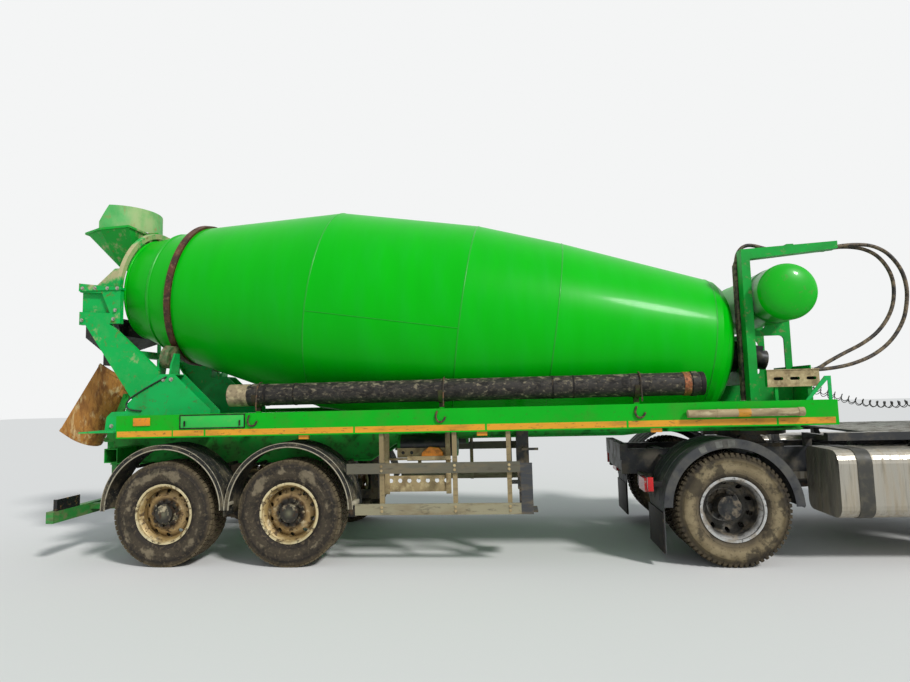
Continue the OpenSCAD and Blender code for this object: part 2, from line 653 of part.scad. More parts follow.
// Section across the trough, open upwards: side walls h high, inner radius r, wall w
module chute_section(h, r, w) {
    difference() {
        union() {
            circle(r = r + w);
            translate([-r - w, -h]) square([2 * (r + w), h]);
        }
        circle(r = r);
        translate([-r, -h - 1]) square([2 * r, h + 1]);
        translate([-400, -900 - h]) square([800, 900]);
    }
}

// Front: pedestal, drive, water tank, hoses

ped_front_y = 340;
tank_x = 6330;
tank_c = 2595;
post_x = [5950, 6035];
post_y = [-760, -640];
// Side view of the boom: station, bottom, top at its ends
boom_ends = [[post_x[0], 2960, 3070], [6900, 3040, 3115]];
bulkhead_x = 6570;
hose_x = 5945;
hose_y = [-605, -557];
hose_top = 3085;
hose_span = [post_y[1] - 5, hose_y[1] + 35];
// Opening in each side plate, by the gearbox
gear_window = [[6150, 1790, 50], [6490, 1790, 50], [6490, 2200, 50], [6165, 2200, 50]];
module front_pedestal() {
    color("#14b029") {
        place() {
            both() side_plate([ped_front_y - 10, ped_front_y + 10]) difference() {
                polygon(rounded([[5960, ped_foot, 0], [6520, ped_foot, 0], [6560, 1800, 60], [6560, 2560, 60],
                    [6120, 2560, 60], [6040, 1800, 60]]));
                translate([tank_x, tank_c]) circle(r = water_r + seat_gap);
                translate([6240, 2330]) circle(r = 70);
                polygon(rounded(gear_window));
            }
            // Deck at the front
            box([5900, rail_front - 30], [-half_w + 90, half_w - 90], [ped_foot, beam_top + 13]);
            // Post and boom, with the hoses' saddles and clips
            box(post_x, post_y, [ped_foot + 1, boom_ends[0][2] - 5]);
            side_plate(post_y) polygon([for (q = [[0, 1], [1, 1], [1, 2], [0, 2]])
                [boom_ends[q[0]][0], boom_ends[q[0]][q[1]]]]);
            for (x = [6480, 6840])
                box([x, x + 40], hose_span, [hose_top - hose_r - 12, hose_top - hose_r - seat_gap]);
            for (z = [1900, 2750]) box([hose_x + hose_r + seat_gap, post_x[1]], hose_span, [z, z + 30]);
            // Keeper over the hoses
            box([6430, 6500], [post_y[1] - 60, post_y[1] - 5], [hose_top - 5, hose_top + hose_r + 8]);
            box([6430, 6500], [post_y[1] - 60, hose_span[1]], [hose_top + hose_r + 4, hose_top + hose_r + 14]);
            box([hose_x - 35, hose_x + 35], hose_span, [beam_top + 12, 1444]);
            // Bulkhead for the hoses and air lines
            box([bulkhead_x - 12, bulkhead_x], [-720, 120], [1440, 1860]);
            box([6440, bulkhead_x], [-720, 120], [beam_top + 12, 1441]);
            // Slotted coupling bracket
            difference() {
                box([5990, 6470], [-1080, -1030], [1650, 1810]);
                for (x = [6050, 6200, 6350]) box([x, x + 90], [-1100, -1000], [1710, 1740]);
            }
            for (x = [6060, 6360]) box([x, x + 30], [-1070, -1040], [beam_top + 12, 1660]);
        }
        on_drum() difference() {
            translate([-190, -ped_front_y + 9, nose_s + 120]) cube([520, 2 * ped_front_y - 18, 16]);
            translate([0, 0, nose_s + 119]) cylinder(r = 175 + seat_gap, h = 18);
        }
    }
}
module drum_drive() {
    color("#2c2d30") on_drum() difference() {
        union() {
            translate([0, 0, nose_s + 42]) cylinder(r = 190, h = 30);
            translate([0, 0, nose_s + 60]) cylinder(r = 175, h = 190);
            translate([0, 0, nose_s + 250]) cylinder(r = 110, h = 190);
            translate([-150, -60, nose_s + 280]) cube([60, 120, 110]);
        }
        translate([0, 0, nose_s + 41]) cylinder(r = 60.5, h = 60);
    }
}
module water_tank() {
    dome = 130;
    flat = water_len / 2 - dome;
    color("#18c02e") place() translate([tank_x, -50, tank_c]) rotate([90, 0, 0]) {
        rotate_extrude() polygon(concat([[0, -flat]],
            [for (i = [0:6]) [water_r * sin(15 * i), -flat - dome * cos(15 * i)]],
            [for (i = [6:-1:0]) [water_r * sin(15 * i), flat + dome * cos(15 * i)]], [[0, flat]]));
    }
}
// Routes of the hoses, [station, height]: up behind the post, along the boom and down in a loop to the bulkhead
outer_route = [[hose_x, 1444.3], [hose_x, 2100], [hose_x, 2850], [5950, 2960], [5970, 3050], [6015, 3115], [6080, 3142],
    [6160, 3132], [6260, 3100], [6380, hose_top], [6900, hose_top], [7030, 3095], [7170, 3098], [7310, 3078],
    [7433, 3015], [7524, 2915], [7591, 2780], [7617, 2620], [7603, 2463], [7561, 2307], [7480, 2163], [7372, 2042],
    [7227, 1942], [7064, 1874], [6900, 1835], [6720, 1815], [6570.5, 1815]];
inner_route = [[hose_x, 1444.3], [hose_x, 2100], [hose_x, 2850], [5953, 2940], [5985, 3010], [6045, 3060],
    [6130, 3082], [6250, hose_top], [6900, hose_top], [7030, 3090], [7150, 3082], [7270, 3052], [7380, 2985],
    [7465, 2875], [7515, 2739], [7520, 2590], [7490, 2440], [7420, 2300], [7309, 2170], [7160, 2065], [6980, 1975],
    [6820, 1890], [6740, 1840], [6665, 1815], [6570.5, 1815]];
module hose(y, route) {
    color("#2a211c") place() swept(tube_rings([for (p = route) [p[0], y, p[1]]], hose_r, 8));
}
module hose_outer() { hose(hose_y[0], outer_route); }
module hose_inner() { hose(hose_y[1], inner_route); }
coil_route = [[6570.5, 0, 1700], [6660, 0, 1700], [6820, 0, 1640], [7000, 0, 1570], [7200, 0, 1500], [7400, 0, 1450],
    [7600, 0, 1425], [7800, 0, 1425], [8000, 0, 1450], [8200, 0, 1495], [8360, 0, 1540], [8480, 0, 1540]];
module air_line(y) {
    color("#1d1d1f") place() swept(tube_rings([for (p = coil_route) [p[0], y, p[2]]], coil_r, 8));
}
module air_line_left() { air_line(20); }
module air_line_right() { air_line(-130); }

// Trailer running gear and guards

module trailer_axle(x) {
    translate([x, 0, axle_z]) {
        along_y(60, [-trailer_track + 195, trailer_track - 195]);
        along_y(spindle_r, [-trailer_track - 60, trailer_track + 60]);
        both() {
            box([-420, 500], [beam_y - 45, beam_y + 45], [-150, -50]);
            box([-70, 70], [beam_y - 55, beam_y + 55], [-60, 40]);
            box([420, 520], [beam_y - 50, beam_y + 50], [-160, beam_low - axle_z - seat_gap]);
            translate([-320, beam_y, -60]) cylinder(r = 125, h = beam_low - axle_z + 60 - seat_gap);
            translate([0, 720, 0]) along_x(70, [30, 230]);
        }
    }
}
module trailer_axles() { color("#3b3a38") place() for (x = trailer_axles_x) trailer_axle(x); }

guard_r = axle_gap / 2;
guard_z = axle_z + 40;
module arch(x, z, r, t, y) {
    translate([x, y[0], z]) rotate([90, 0, 0]) mirror([0, 0, 1]) rotate_extrude(angle = 180)
        translate([r - t, 0]) square([t, y[1] - y[0]]);
}
module trailer_mudguards() {
    color("#55585a") place() both() {
        for (x = trailer_axles_x) {
            arch(x, guard_z, guard_r, 8, [870, half_w - 5]);
            arch(x, guard_z, guard_r, 45, [half_w - 11, half_w - 5]);
            for (a = [40, 140]) translate([x + (guard_r - 22) * cos(a), 0, guard_z + (guard_r - 22) * sin(a)])
                along_y(18, [beam_y + flange_w / 2 + seat_gap, 900]);
        }
        box([axle_gap / 2 - 8, axle_gap / 2 + 8], [870, half_w - 5], [guard_z - 60, guard_z + 40]);
    }
}
guard_y = [half_w - 25, half_w];
rear_bar = [-1320, -1240];
module underrun_guards() {
    color("#8f9492") place() {
        both() {
            box([1910, 3611], guard_y, [900, 1000]);
            box([1990, 3611], guard_y, [505, 610]);
            box([3610, 3720], guard_y, [505, 985]);
            for (x = [2255, 2975, 3500]) box([x - 22, x + 22], [half_w - 70, half_w - 24], [505, rail_low - seat_gap]);
        }
        // Rear bumper on its brackets
        box(rear_bar, [-1150, 1150], [420, 540]);
        both() {
            box([rear_bar[1] - 1, frame_rear + 60], [beam_y - 30, beam_y + 30], [470, 530]);
            box([frame_rear, frame_rear + 60], [beam_y - 30, beam_y + 30], [470, beam_low - seat_gap]);
        }
    }
}
module trailer_lamps() {
    color("#c8402c") place() both() {
        box([rear_bar[1] - 40, rear_bar[1]], [760, 1100], [540 + seat_gap, 660]);
        for (x = [1420, 3200, 4850]) box([x, x + 100], [half_w - 60, half_w - 20], [rail_low - 40, rail_low - seat_gap]);
    }
}

// Tractor

tractor_rear = 4700;
tail_bar = [4860, 4905];
catwalk_x = [7000, 8480];
catwalk_z = 1185;
tractor_front = steer_x + 1000;
module tractor_frame() {
    color("#303236") place() {
        both() {
            box([tractor_rear, tractor_front], [frame_y - 8, frame_y], [frame_top - frame_h, frame_top]);
            box([tractor_rear, tractor_front], [frame_y - 80, frame_y], [frame_top - 8, frame_top]);
            box([tractor_rear, tractor_front], [frame_y - 80, frame_y], [frame_top - frame_h, frame_top - frame_h + 8]);
            // Cab mounts at the back and the front
            for (x = [cab_rear + 60, cab_front - 420])
                box([x, x + 90], [frame_y - 78, frame_y - 2], [frame_top - 1, cab_floor - cab_wall - seat_gap]);
        }
        for (x = [tractor_rear, 5150, 6000, 7000, 8100, tractor_front - 80])
            box([x, x + 80], [-frame_y + 7, frame_y - 7], [frame_top - frame_h + 30, frame_top - 30]);
        box([tractor_rear - 20, tractor_rear + 60], [-frame_y - 40, frame_y + 40], [frame_top - 110, frame_top + 60]);
        both() box(tail_bar, [frame_y - 1, 960], [640, 790]);
        // Catwalk behind the cab
        box(catwalk_x, [-800, 800], [catwalk_z - 20, catwalk_z]);
        both() {
            box([catwalk_x[0] - 400, catwalk_x[1]], [799, 880], [catwalk_z - 75, catwalk_z]);
            for (x = [catwalk_x[0] + 50, catwalk_x[1] - 180]) box([x, x + 60], [frame_y - 80, frame_y], [frame_top - 1, catwalk_z - 19]);
            box([catwalk_x[0] - 400, catwalk_x[0] - 340], [frame_y - 10, 801], [catwalk_z - 75, catwalk_z - 25]);
            box([catwalk_x[0] - 400, catwalk_x[0] - 340], [frame_y - 80, frame_y], [frame_top - 1, catwalk_z - 25]);
        }
        // Bracket of the air lines
        box([catwalk_x[1] + seat_gap, catwalk_x[1] + 20], [-200, 100], [catwalk_z - 1, 1620]);
        box([catwalk_x[1] - 80, catwalk_x[1] + 20], [-200, 100], [catwalk_z - 1, catwalk_z + 14]);
    }
}
plate_z = coupler_z - seat_gap;
module fifth_wheel() {
    color("#3d3a33") place() {
        difference() {
            union() {
                translate([kingpin_x, 0, plate_z - 50]) cylinder(r = 470, h = 50);
                box([kingpin_x - 480, kingpin_x], [-330, 330], [plate_z - 50, plate_z]);
            }
            translate([kingpin_x, 0, plate_z - 60]) cylinder(r = 42, h = 70);
            translate([0, 0, plate_z - 60]) linear_extrude(70) polygon([[kingpin_x, -42], [kingpin_x, 42],
                [kingpin_x - 200, 60], [kingpin_x - 490, 220], [kingpin_x - 490, -220], [kingpin_x - 200, -60]]);
        }
        both() {
            side_plate([300, 340]) polygon([[kingpin_x - 160, frame_top + 41], [kingpin_x + 160, frame_top + 41],
                [kingpin_x + 90, plate_z - 49], [kingpin_x - 90, plate_z - 49]]);
            box([kingpin_x - 300, kingpin_x + 300], [280, frame_y], [frame_top + seat_gap, frame_top + 42]);
        }
    }
}
module tractor_axles() {
    color("#33343a") place() {
        // Drive axle, its air bags and the shaft to the engine
        translate([drive_x, 0, axle_z]) {
            along_y(75, [-drive_track + 505, drive_track - 505]);
            along_y(spindle_r, [-drive_track + 70, drive_track - 70]);
            sphere(r = 205);
            translate([150, 0, 0]) rotate([0, 90 - shaft_rise, 0]) cylinder(r = 45, h = shaft_len);
            both() {
                box([-420, 420], [frame_y - 75, frame_y - 5], [-150, -65]);
                box([-60, 60], [frame_y - 85, frame_y + 5], [-90, 20]);
                for (x = [-320, 320]) translate([x, frame_y - 40, -80])
                    cylinder(r = 105, h = frame_top - frame_h - axle_z + 80 - seat_gap);
            }
        }
        // Front axle with its leaf springs, and an eye for each kingpin
        translate([steer_x, 0, axle_z]) difference() {
            union() {
                box([-45, 45], [-765, 765], [-110, -10]);
                both() {
                    translate([0, pin_y, -60]) cylinder(r = 52, h = 110);
                    box([-45, 45], [720, pin_y], [-58, 48]);
                    side_plate([350, 425]) polygon([[-800, 185], [-790, 215], [-300, 60], [300, 60], [790, 215],
                        [800, 185], [350, 20], [-350, 20]]);
                    box([-60, 60], [352, 423], [-50, 30]);
                    for (x = [-850, 760]) box([x, x + 90], [351, 424], [150, frame_top - frame_h - axle_z - seat_gap]);
                }
            }
            both() translate([0, pin_y, -61]) cylinder(r = pin_small_r + seat_gap, h = 112);
        }
    }
}
engine_x = [steer_x - 760, steer_x + 540];
engine_feet = [engine_x[0] + 200, engine_x[1] - 250];
engine_z = [620, 1350];
shaft_rise = 3.3;
shaft_len = (engine_x[0] - drive_x - 150 - seat_gap) / cos(shaft_rise) - 3;
pin_y = 840;
pin_small_r = 22;
module knuckle(side) {
    color("#33343a") place() translate([steer_x, 0, axle_z]) mirror([0, side == 1 ? 0 : 1, 0]) translate([0, pin_y, 0]) {
        for (z = [-90, 50 + seat_gap]) {
            translate([0, 0, z]) cylinder(r = 48, h = 30 - seat_gap);
            box([-48, 48], [0, 66], [z, z + 30 - seat_gap]);
        }
        translate([0, 0, -89]) cylinder(r = pin_small_r, h = 168);
        box([-48, 48], [58, 70], [-89, 79]);
        along_y(spindle_r, [66, 235]);
        // Steering arm
        box([-240, 0], [-20, 20], [-89, -66]);
    }
}
module knuckle_left() { knuckle(1); }
module knuckle_right() { knuckle(-1); }
module engine_block() {
    color("#4a4c50") place() {
        box(engine_x, [-330, 330], engine_z);
        for (x = engine_feet) box([x, x + 100], [8 + seat_gap - frame_y, frame_y - 8 - seat_gap], [850, 950]);
    }
}
fuel_x = [6500, 8150];
module fuel_tanks() {
    color("#b9bab6") place() both() {
        cross_plate(fuel_x)
            polygon(rounded([[620, 430, 90], [1240, 430, 120], [1240, 1050, 120], [620, 1050, 90]], 5));
        for (x = [fuel_x[0] + 220, fuel_x[1] - 290]) box([x, x + 70], [frame_y + seat_gap, 630], [790, 960]);
    }
}
module tractor_mudguards() {
    color("#4c5053") place() both() {
        difference() {
            arch(drive_x, axle_z + 20, tractor_guard_r, 10, [600, half_w - 20]);
            arch(drive_x, axle_z + 20, tractor_guard_r, 62, [half_w - 28, half_w - 20]);
            box([drive_x - 250, drive_x + 250], [590, 660], [1000, 1300]);
        }
        box([drive_x - tractor_guard_r, drive_x - tractor_guard_r + 10], [640, 1200], [120, axle_z + 21]);
        for (a = [42, 138]) translate([drive_x + (tractor_guard_r - 20) * cos(a), 0, axle_z + 20 + (tractor_guard_r - 20) * sin(a)])
            along_y(18, [frame_y + seat_gap, 700]);
    }
}
tractor_guard_r = 630;
module tractor_lamps() {
    color("#d8d4cc") place() both() {
        box([cab_front + 10, cab_front + 60], headlamp_y, headlamp_z);
        box([tail_bar[0] - 40, tail_bar[0] - seat_gap], [680, 940], [650, 780]);
    }
}
headlamp_y = [740, 1020];
headlamp_z = [730, 900];

// Cab

cab_rear = steer_x - 450;
cab_front = cab_rear + cab_len;
cab_low = 1130;
cab_side = [[cab_rear, cab_low, 0], [cab_front - 40, cab_low, 40], [cab_front, 1300, 60], [cab_front, 1780, 120],
    [cab_front - 180, cab_top - 90, 130], [cab_front - 420, cab_top, 120], [cab_rear, cab_top, 80]];
arch_r = 670;
module cab_block(inset) {
    intersection() {
        side_plate([-cab_w / 2 + inset, cab_w / 2 - inset]) offset(delta = -inset) polygon(rounded(cab_side, 5));
        translate([0, 0, 900]) linear_extrude(2500) polygon(rounded([[cab_rear + inset, -cab_w / 2 + inset, 60],
            [cab_front - inset, -cab_w / 2 + inset, 160], [cab_front - inset, cab_w / 2 - inset, 160],
            [cab_rear + inset, cab_w / 2 - inset, 60]], 5));
    }
}
door_x = [cab_rear + 400, cab_front - 260];
door_pts = [[door_x[0], 1190, 40], [door_x[1], 1190, 60], [door_x[1], 1800, 60],
    [door_x[1] - 150, cab_top - 180, 90], [door_x[0], cab_top - 180, 60]];
side_window_pts = [[door_x[0] + 80, 1950, 60], [door_x[1] - 110, 1950, 80], [door_x[1] - 215, cab_top - 260, 70],
    [door_x[0] + 80, cab_top - 260, 60]];
module side_zone(side, depth, pts, grow) {
    y = cab_w / 2;
    side_plate(side == 1 ? [y - depth, y + 20] : [-y - 20, -y + depth]) offset(delta = grow) polygon(rounded(pts, 5));
}
module shell() { difference() { cab_block(0); cab_block(cab_wall); } }
module wheel_arch() { translate([steer_x, 0, axle_z]) along_y(arch_r, [-1300, 1300]); }
screen_y = 1000;
screen_z = [1860, cab_top - 170];
module screen_zone(grow) {
    cross_plate([cab_front - 330, cab_front + 20]) offset(delta = grow)
        polygon(rounded([[-screen_y, screen_z[0], 80], [screen_y, screen_z[0], 80],
            [screen_y - 60, screen_z[1], 80], [60 - screen_y, screen_z[1], 80]], 5));
}
module rear_zone(grow) {
    cross_plate([cab_rear - 10, cab_rear + cab_wall + 10]) offset(delta = grow)
        polygon(rounded([[-450, 2100, 60], [450, 2100, 60], [450, 2500, 60], [-450, 2500, 60]], 5));
}
// Door hinges: pins on the cab beside each door's front edge
hinge_x = door_x[1] + door_gap / 2;
hinge_y = cab_w / 2 + 14;
hinge_r = 7;
hinge_places = [1350, 1700];
module cab_shell() {
    color("#e9ebe8") place() {
        difference() {
            union() {
                shell();
                intersection() {
                    cab_block(5);
                    box([cab_rear, cab_front], [-1200, 1200], [cab_floor - cab_wall, cab_floor]);
                }
            }
            side_zone(1, cab_wall + 1, door_pts, door_gap);
            side_zone(-1, cab_wall + 1, door_pts, door_gap);
            screen_zone(0);
            rear_zone(0);
            wheel_arch();
            // Open below the floor, over the engine
            box([cab_rear - 1, cab_front - cab_wall], [cab_wall - cab_w / 2, cab_w / 2 - cab_wall],
                [cab_low - 10, cab_floor - cab_wall]);
            // Grille
            for (z = [1330:75:1630]) box([cab_front - 28, cab_front + 10], [-760, 760], [z, z + 42]);
        }
        // Visor over the screen
        side_plate([-1060, 1060]) polygon([[cab_front - 230, cab_top - 110], [cab_front + 20, cab_top - 150],
            [cab_front + 20, cab_top - 138], [cab_front - 230, cab_top - 70]]);
        both() {
            for (z = hinge_places) {
                box([hinge_x, hinge_x + 60], [cab_w / 2 - 5, hinge_y + 8], [z - 30, z - 12]);
                box([hinge_x, hinge_x + 60], [cab_w / 2 - 5, hinge_y + 8], [z + 12, z + 30]);
                translate([hinge_x, hinge_y, z - 30]) cylinder(r = 12, h = 18);
                translate([hinge_x, hinge_y, z + 12]) cylinder(r = 12, h = 18);
                translate([hinge_x, hinge_y, z - 30]) cylinder(r = hinge_r, h = 60);
            }
            // Mirror on two arms
            for (z = [2020, 2400]) translate([cab_front - 140, 0, z]) along_y(12, [cab_w / 2 - 8, 1260]);
            box([cab_front - 170, cab_front - 100], [1250, 1420], [1960, 2460]);
        }
    }
}
module door(side) {
    color("#e9ebe8") place() {
        difference() {
            intersection() {
                shell();
                side_zone(side, cab_wall + 10, door_pts, 0);
            }
            side_zone(side, cab_wall + 20, side_window_pts, 0);
            translate([steer_x, 0, axle_z]) along_y(arch_r, [-1300, 1300]);
        }
        mirror([0, side == 1 ? 0 : 1, 0]) for (z = hinge_places) difference() {
            union() {
                translate([hinge_x, hinge_y, z - 11]) cylinder(r = 12, h = 22);
                box([hinge_x - 60, hinge_x - 5], [cab_w / 2 - 5, hinge_y + 6], [z - 11, z + 11]);
            }
            translate([hinge_x, hinge_y, z - 12]) cylinder(r = hinge_r + seat_gap, h = 24);
        }
        // Handle
        mirror([0, side == 1 ? 0 : 1, 0]) box([door_x[0] + 60, door_x[0] + 200], [cab_w / 2 - 1, cab_w / 2 + 18],
            [1800, 1830]);
    }
}
module door_left() { door(1); }
module door_right() { door(-1); }
glass_t = 6;
module pane() { difference() { cab_block(20); cab_block(20 + glass_t); } }
module door_glass(side) {
    color("#7f98a0", 0.4) place() intersection() {
        pane();
        side_zone(side, cab_wall + 20, side_window_pts, -seat_gap);
    }
}
module door_glass_left() { door_glass(1); }
module door_glass_right() { door_glass(-1); }
module cab_glass() {
    color("#7f98a0", 0.4) place() intersection() {
        pane();
        union() { screen_zone(-seat_gap); rear_zone(-seat_gap); }
    }
}
module cab_interior() {
    color("#3a3c40") place() {
        both() {
            box([cab_rear + 250, cab_rear + 760], [350, 850], [1750, 1880]);
            box([cab_rear + 200, cab_rear + 320], [370, 830], [1870, 2450]);
            box([cab_rear + 330, cab_rear + 680], [450, 750], [cab_floor + seat_gap, 1751]);
        }
        box([cab_front - 480, cab_front - 200], [-1000, 1000], [1700, 1790]);
        box([cab_front - 300, cab_front - 200], [-900, 900], [cab_floor + seat_gap, 1701]);
        translate([cab_front - 620, 600, 1850]) rotate([0, -25, 0]) {
            rotate_extrude() translate([220, 0]) circle(r = 16, $fn = 24);
            cylinder(r = 40, h = 30, center = true);
            for (a = [0, 120, 240]) rotate(a) box([0, 210], [-15, 15], [-6, 6]);
        }
        // Steering column
        side_plate([580, 620]) polygon([[cab_front - 640, 1845], [cab_front - 600, 1860], [cab_front - 440, 1760],
            [cab_front - 460, 1720]]);
    }
}
bumper_x = [steer_x + 650, cab_front + 60];
module bumper_plan(inset) {
    polygon(rounded([[bumper_x[0] - 1, -1200 + inset, 0], [bumper_x[1] - inset, -1200 + inset, 170 - inset],
        [bumper_x[1] - inset, 1200 - inset, 170 - inset], [bumper_x[0] - 1, 1200 - inset, 0]], 5));
}
module front_bumper() {
    color("#d9dbd8") place() difference() {
        union() {
            translate([0, 0, 480]) linear_extrude(620) difference() {
                bumper_plan(0);
                bumper_plan(40);
            }
            // Brackets to the frame, and the step treads
            both() {
                box([tractor_front + seat_gap, bumper_x[1] - 39], [frame_y - 80, frame_y], [800, 960]);
                for (z = [540, 810]) box([bumper_x[0], bumper_x[0] + 480], [960, 1170], [z, z + 20]);
            }
        }
        translate([bumper_x[1], 0, 600]) along_x(20, [-60, 20]);
        both() {
            box([bumper_x[1] - 60, bumper_x[1] + 20], [headlamp_y[0] - seat_gap, headlamp_y[1] + seat_gap],
                [headlamp_z[0] - seat_gap, headlamp_z[1] + seat_gap]);
            for (z = [560, 830]) box([bumper_x[0] + 60, bumper_x[0] + 420], [1100, 1250], [z, z + 210]);
        }
        // Air intake
        for (z = [960, 1020]) box([bumper_x[1] - 60, bumper_x[1] + 20], [-600, 600], [z, z + 35]);
    }
}

trailer_frame();
side_rails();
landing_legs();
rear_pedestal();
discharge_frame();
feed_hopper();
hopper_flap();
drop_funnel();
front_pedestal();
drum_drive();
water_tank();
hose_outer();
hose_inner();
trailer_axles();
trailer_mudguards();
underrun_guards();
trailer_lamps();
stowed_pipe();
drum_shell();
roller_track();
drum_blades();
roller_left();
roller_right();
chute_swivel();
chute();
trailer_tyre_rear_left();
trailer_rim_rear_left();
trailer_tyre_rear_right();
trailer_rim_rear_right();
trailer_tyre_front_left();
trailer_rim_front_left();
trailer_tyre_front_right();
trailer_rim_front_right();
air_line_left();
air_line_right();
tractor_frame();
fifth_wheel();
tractor_axles();
engine_block();
fuel_tanks();
tractor_mudguards();
tractor_lamps();
cab_shell();
front_bumper();
cab_glass();
cab_interior();
door_left();
door_right();
door_glass_left();
door_glass_right();
knuckle_left();
knuckle_right();
steer_tyre_left();
steer_rim_left();
steer_tyre_right();
steer_rim_right();
drive_tyres_left();
drive_rims_left();
drive_tyres_right();
drive_rims_right();
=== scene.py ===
import math
import bpy
import bmesh
import numpy as np
from mathutils import Vector, Matrix


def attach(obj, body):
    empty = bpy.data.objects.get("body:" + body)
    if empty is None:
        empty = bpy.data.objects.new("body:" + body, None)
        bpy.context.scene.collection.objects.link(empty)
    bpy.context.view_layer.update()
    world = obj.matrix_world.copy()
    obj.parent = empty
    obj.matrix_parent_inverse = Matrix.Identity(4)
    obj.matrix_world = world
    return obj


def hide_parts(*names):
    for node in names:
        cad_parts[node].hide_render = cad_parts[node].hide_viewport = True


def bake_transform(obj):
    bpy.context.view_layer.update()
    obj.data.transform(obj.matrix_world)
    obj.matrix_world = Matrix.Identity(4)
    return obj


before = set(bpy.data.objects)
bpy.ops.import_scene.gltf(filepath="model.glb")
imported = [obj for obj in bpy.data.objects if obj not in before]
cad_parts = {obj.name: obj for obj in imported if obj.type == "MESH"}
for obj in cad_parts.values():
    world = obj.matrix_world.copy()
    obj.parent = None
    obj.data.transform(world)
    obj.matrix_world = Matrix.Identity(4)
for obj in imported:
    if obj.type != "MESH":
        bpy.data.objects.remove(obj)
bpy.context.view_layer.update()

# Camera and studio
# The camera stands to the right of the trailer, a little above wheel height, as the photographer
# did. The floor is a plain pale sheet, and the key light comes from the front right, as the sun did.

scene = bpy.context.scene
scene.view_settings.view_transform = "Standard"
MIDDLE = 4.370


def at(x, y, z):
    """A point whose x is counted from the trailer's rear axle, as in the drawing"""
    return Vector((x - MIDDLE, y, z))


def linear(text):
    """The linear colour of an sRGB hex value"""
    parts = [int(text[i:i + 2], 16) / 255 for i in (1, 3, 5)]
    return [c / 12.92 if c <= 0.04045 else ((c + 0.055) / 1.055) ** 2.4 for c in parts] + [1.0]


def put(tree, kind, sockets=None, **settings):
    """Adds one node: settings are its properties, sockets its inputs, each a value or a link"""
    made = tree.nodes.new(kind)
    for name, value in settings.items():
        setattr(made, name, value)
    for name, value in (sockets or {}).items():
        if isinstance(value, bpy.types.NodeSocket):
            tree.links.new(value, made.inputs[name])
        else:
            made.inputs[name].default_value = value
    return made


def placed(name, data):
    """A new object in the scene"""
    made = bpy.data.objects.new(name, data)
    scene.collection.objects.link(made)
    return made


def maths(tree, operation, *values):
    """The result of a Math node"""
    return put(tree, "ShaderNodeMath", dict(enumerate(values)), operation=operation).outputs[0]


def fresh_material(name):
    """A material with an empty node tree"""
    material = bpy.data.materials.new(name)
    material.use_nodes = True
    material.node_tree.nodes.clear()
    return material


def shaded(material, sockets, kind="ShaderNodeBsdfPrincipled"):
    """The material with its shader and its output"""
    shader = put(material.node_tree, kind, sockets)
    put(material.node_tree, "ShaderNodeOutputMaterial", {"Surface": shader.outputs[0]})
    return material


yaw, pitch, roll = (math.radians(a) for a in (5.26, 5.03, -1.47))
ahead = Vector((-math.sin(yaw) * math.cos(pitch), math.cos(yaw) * math.cos(pitch), math.sin(pitch)))
level = Vector((math.cos(yaw), math.sin(yaw), 0))
square = level.cross(ahead)
across = math.cos(roll) * level + math.sin(roll) * square
upward = -math.sin(roll) * level + math.cos(roll) * square
lens = bpy.data.cameras.new("camera")
lens.sensor_fit = "HORIZONTAL"
lens.sensor_width = 36.0
lens.lens = 36.0 * 600 / 910
lens.clip_end = 200.0
camera = placed("camera", lens)
turned = Matrix((across, upward, -ahead)).transposed().to_4x4()
camera.matrix_world = Matrix.Translation(at(3.55, -7.10, 1.66)) @ turned
scene.camera = camera

floor_material = shaded(fresh_material("pale_floor"), {"Color": linear("#dcdbd8")}, "ShaderNodeBsdfDiffuse")
reach = 60
floor_mesh = bpy.data.meshes.new("floor")
floor_mesh.from_pydata([(-reach, -reach, 0), (reach, -reach, 0), (reach, reach, 0), (-reach, reach, 0)], [],
                       [(0, 1, 2, 3)])
floor_mesh.materials.append(floor_material)
floor = placed("floor", floor_mesh)

world = bpy.data.worlds.new("studio")
scene.world = world
world.use_nodes = True
tree = world.node_tree
tree.nodes.clear()
rays = put(tree, "ShaderNodeLightPath")
seen = maths(tree, "MAXIMUM", rays.outputs["Is Camera Ray"], rays.outputs["Is Transmission Ray"])
shown = maths(tree, "MAXIMUM", seen, rays.outputs["Is Glossy Ray"])
soft = put(tree, "ShaderNodeBackground", {"Color": linear("#e8eff6"), "Strength": 0.58})
plain = put(tree, "ShaderNodeBackground", {"Color": linear("#f4f5f5"), "Strength": 1.0})
mixed = put(tree, "ShaderNodeMixShader", {0: shown, 1: soft.outputs[0], 2: plain.outputs[0]})
put(tree, "ShaderNodeOutputWorld", {"Surface": mixed.outputs[0]})

sun = bpy.data.lights.new("key", "SUN")
sun.energy = 2.5
sun.angle = math.radians(9)
key = placed("key", sun)
key.rotation_euler = Vector((-0.60, 0.58, -0.70)).to_track_quat("-Z", "Y").to_euler()

# Hydraulic hoses
# Two rubber pressure hoses, reinforced with steel wire, run up behind the post and along the boom and
# come down in a stiff loop to the bulkhead. Each end is crimped into a steel sleeve with a collar.


def smooth_path(points, parts):
    """A curve through the points, with so many parts between each two"""
    p = np.array(points, float)
    q = np.vstack([2 * p[0] - p[1], p, 2 * p[-1] - p[-2]])
    out = []
    for i in range(1, len(q) - 2):
        for t in np.arange(parts) / parts:
            a, b, c, d = q[i - 1], q[i], q[i + 1], q[i + 2]
            out.append(0.5 * (2 * b + (c - a) * t + (2 * a - 5 * b + 4 * c - d) * t * t
                              + (3 * b - a - 3 * c + d) * t ** 3))
    return np.array(out + [q[-2]])


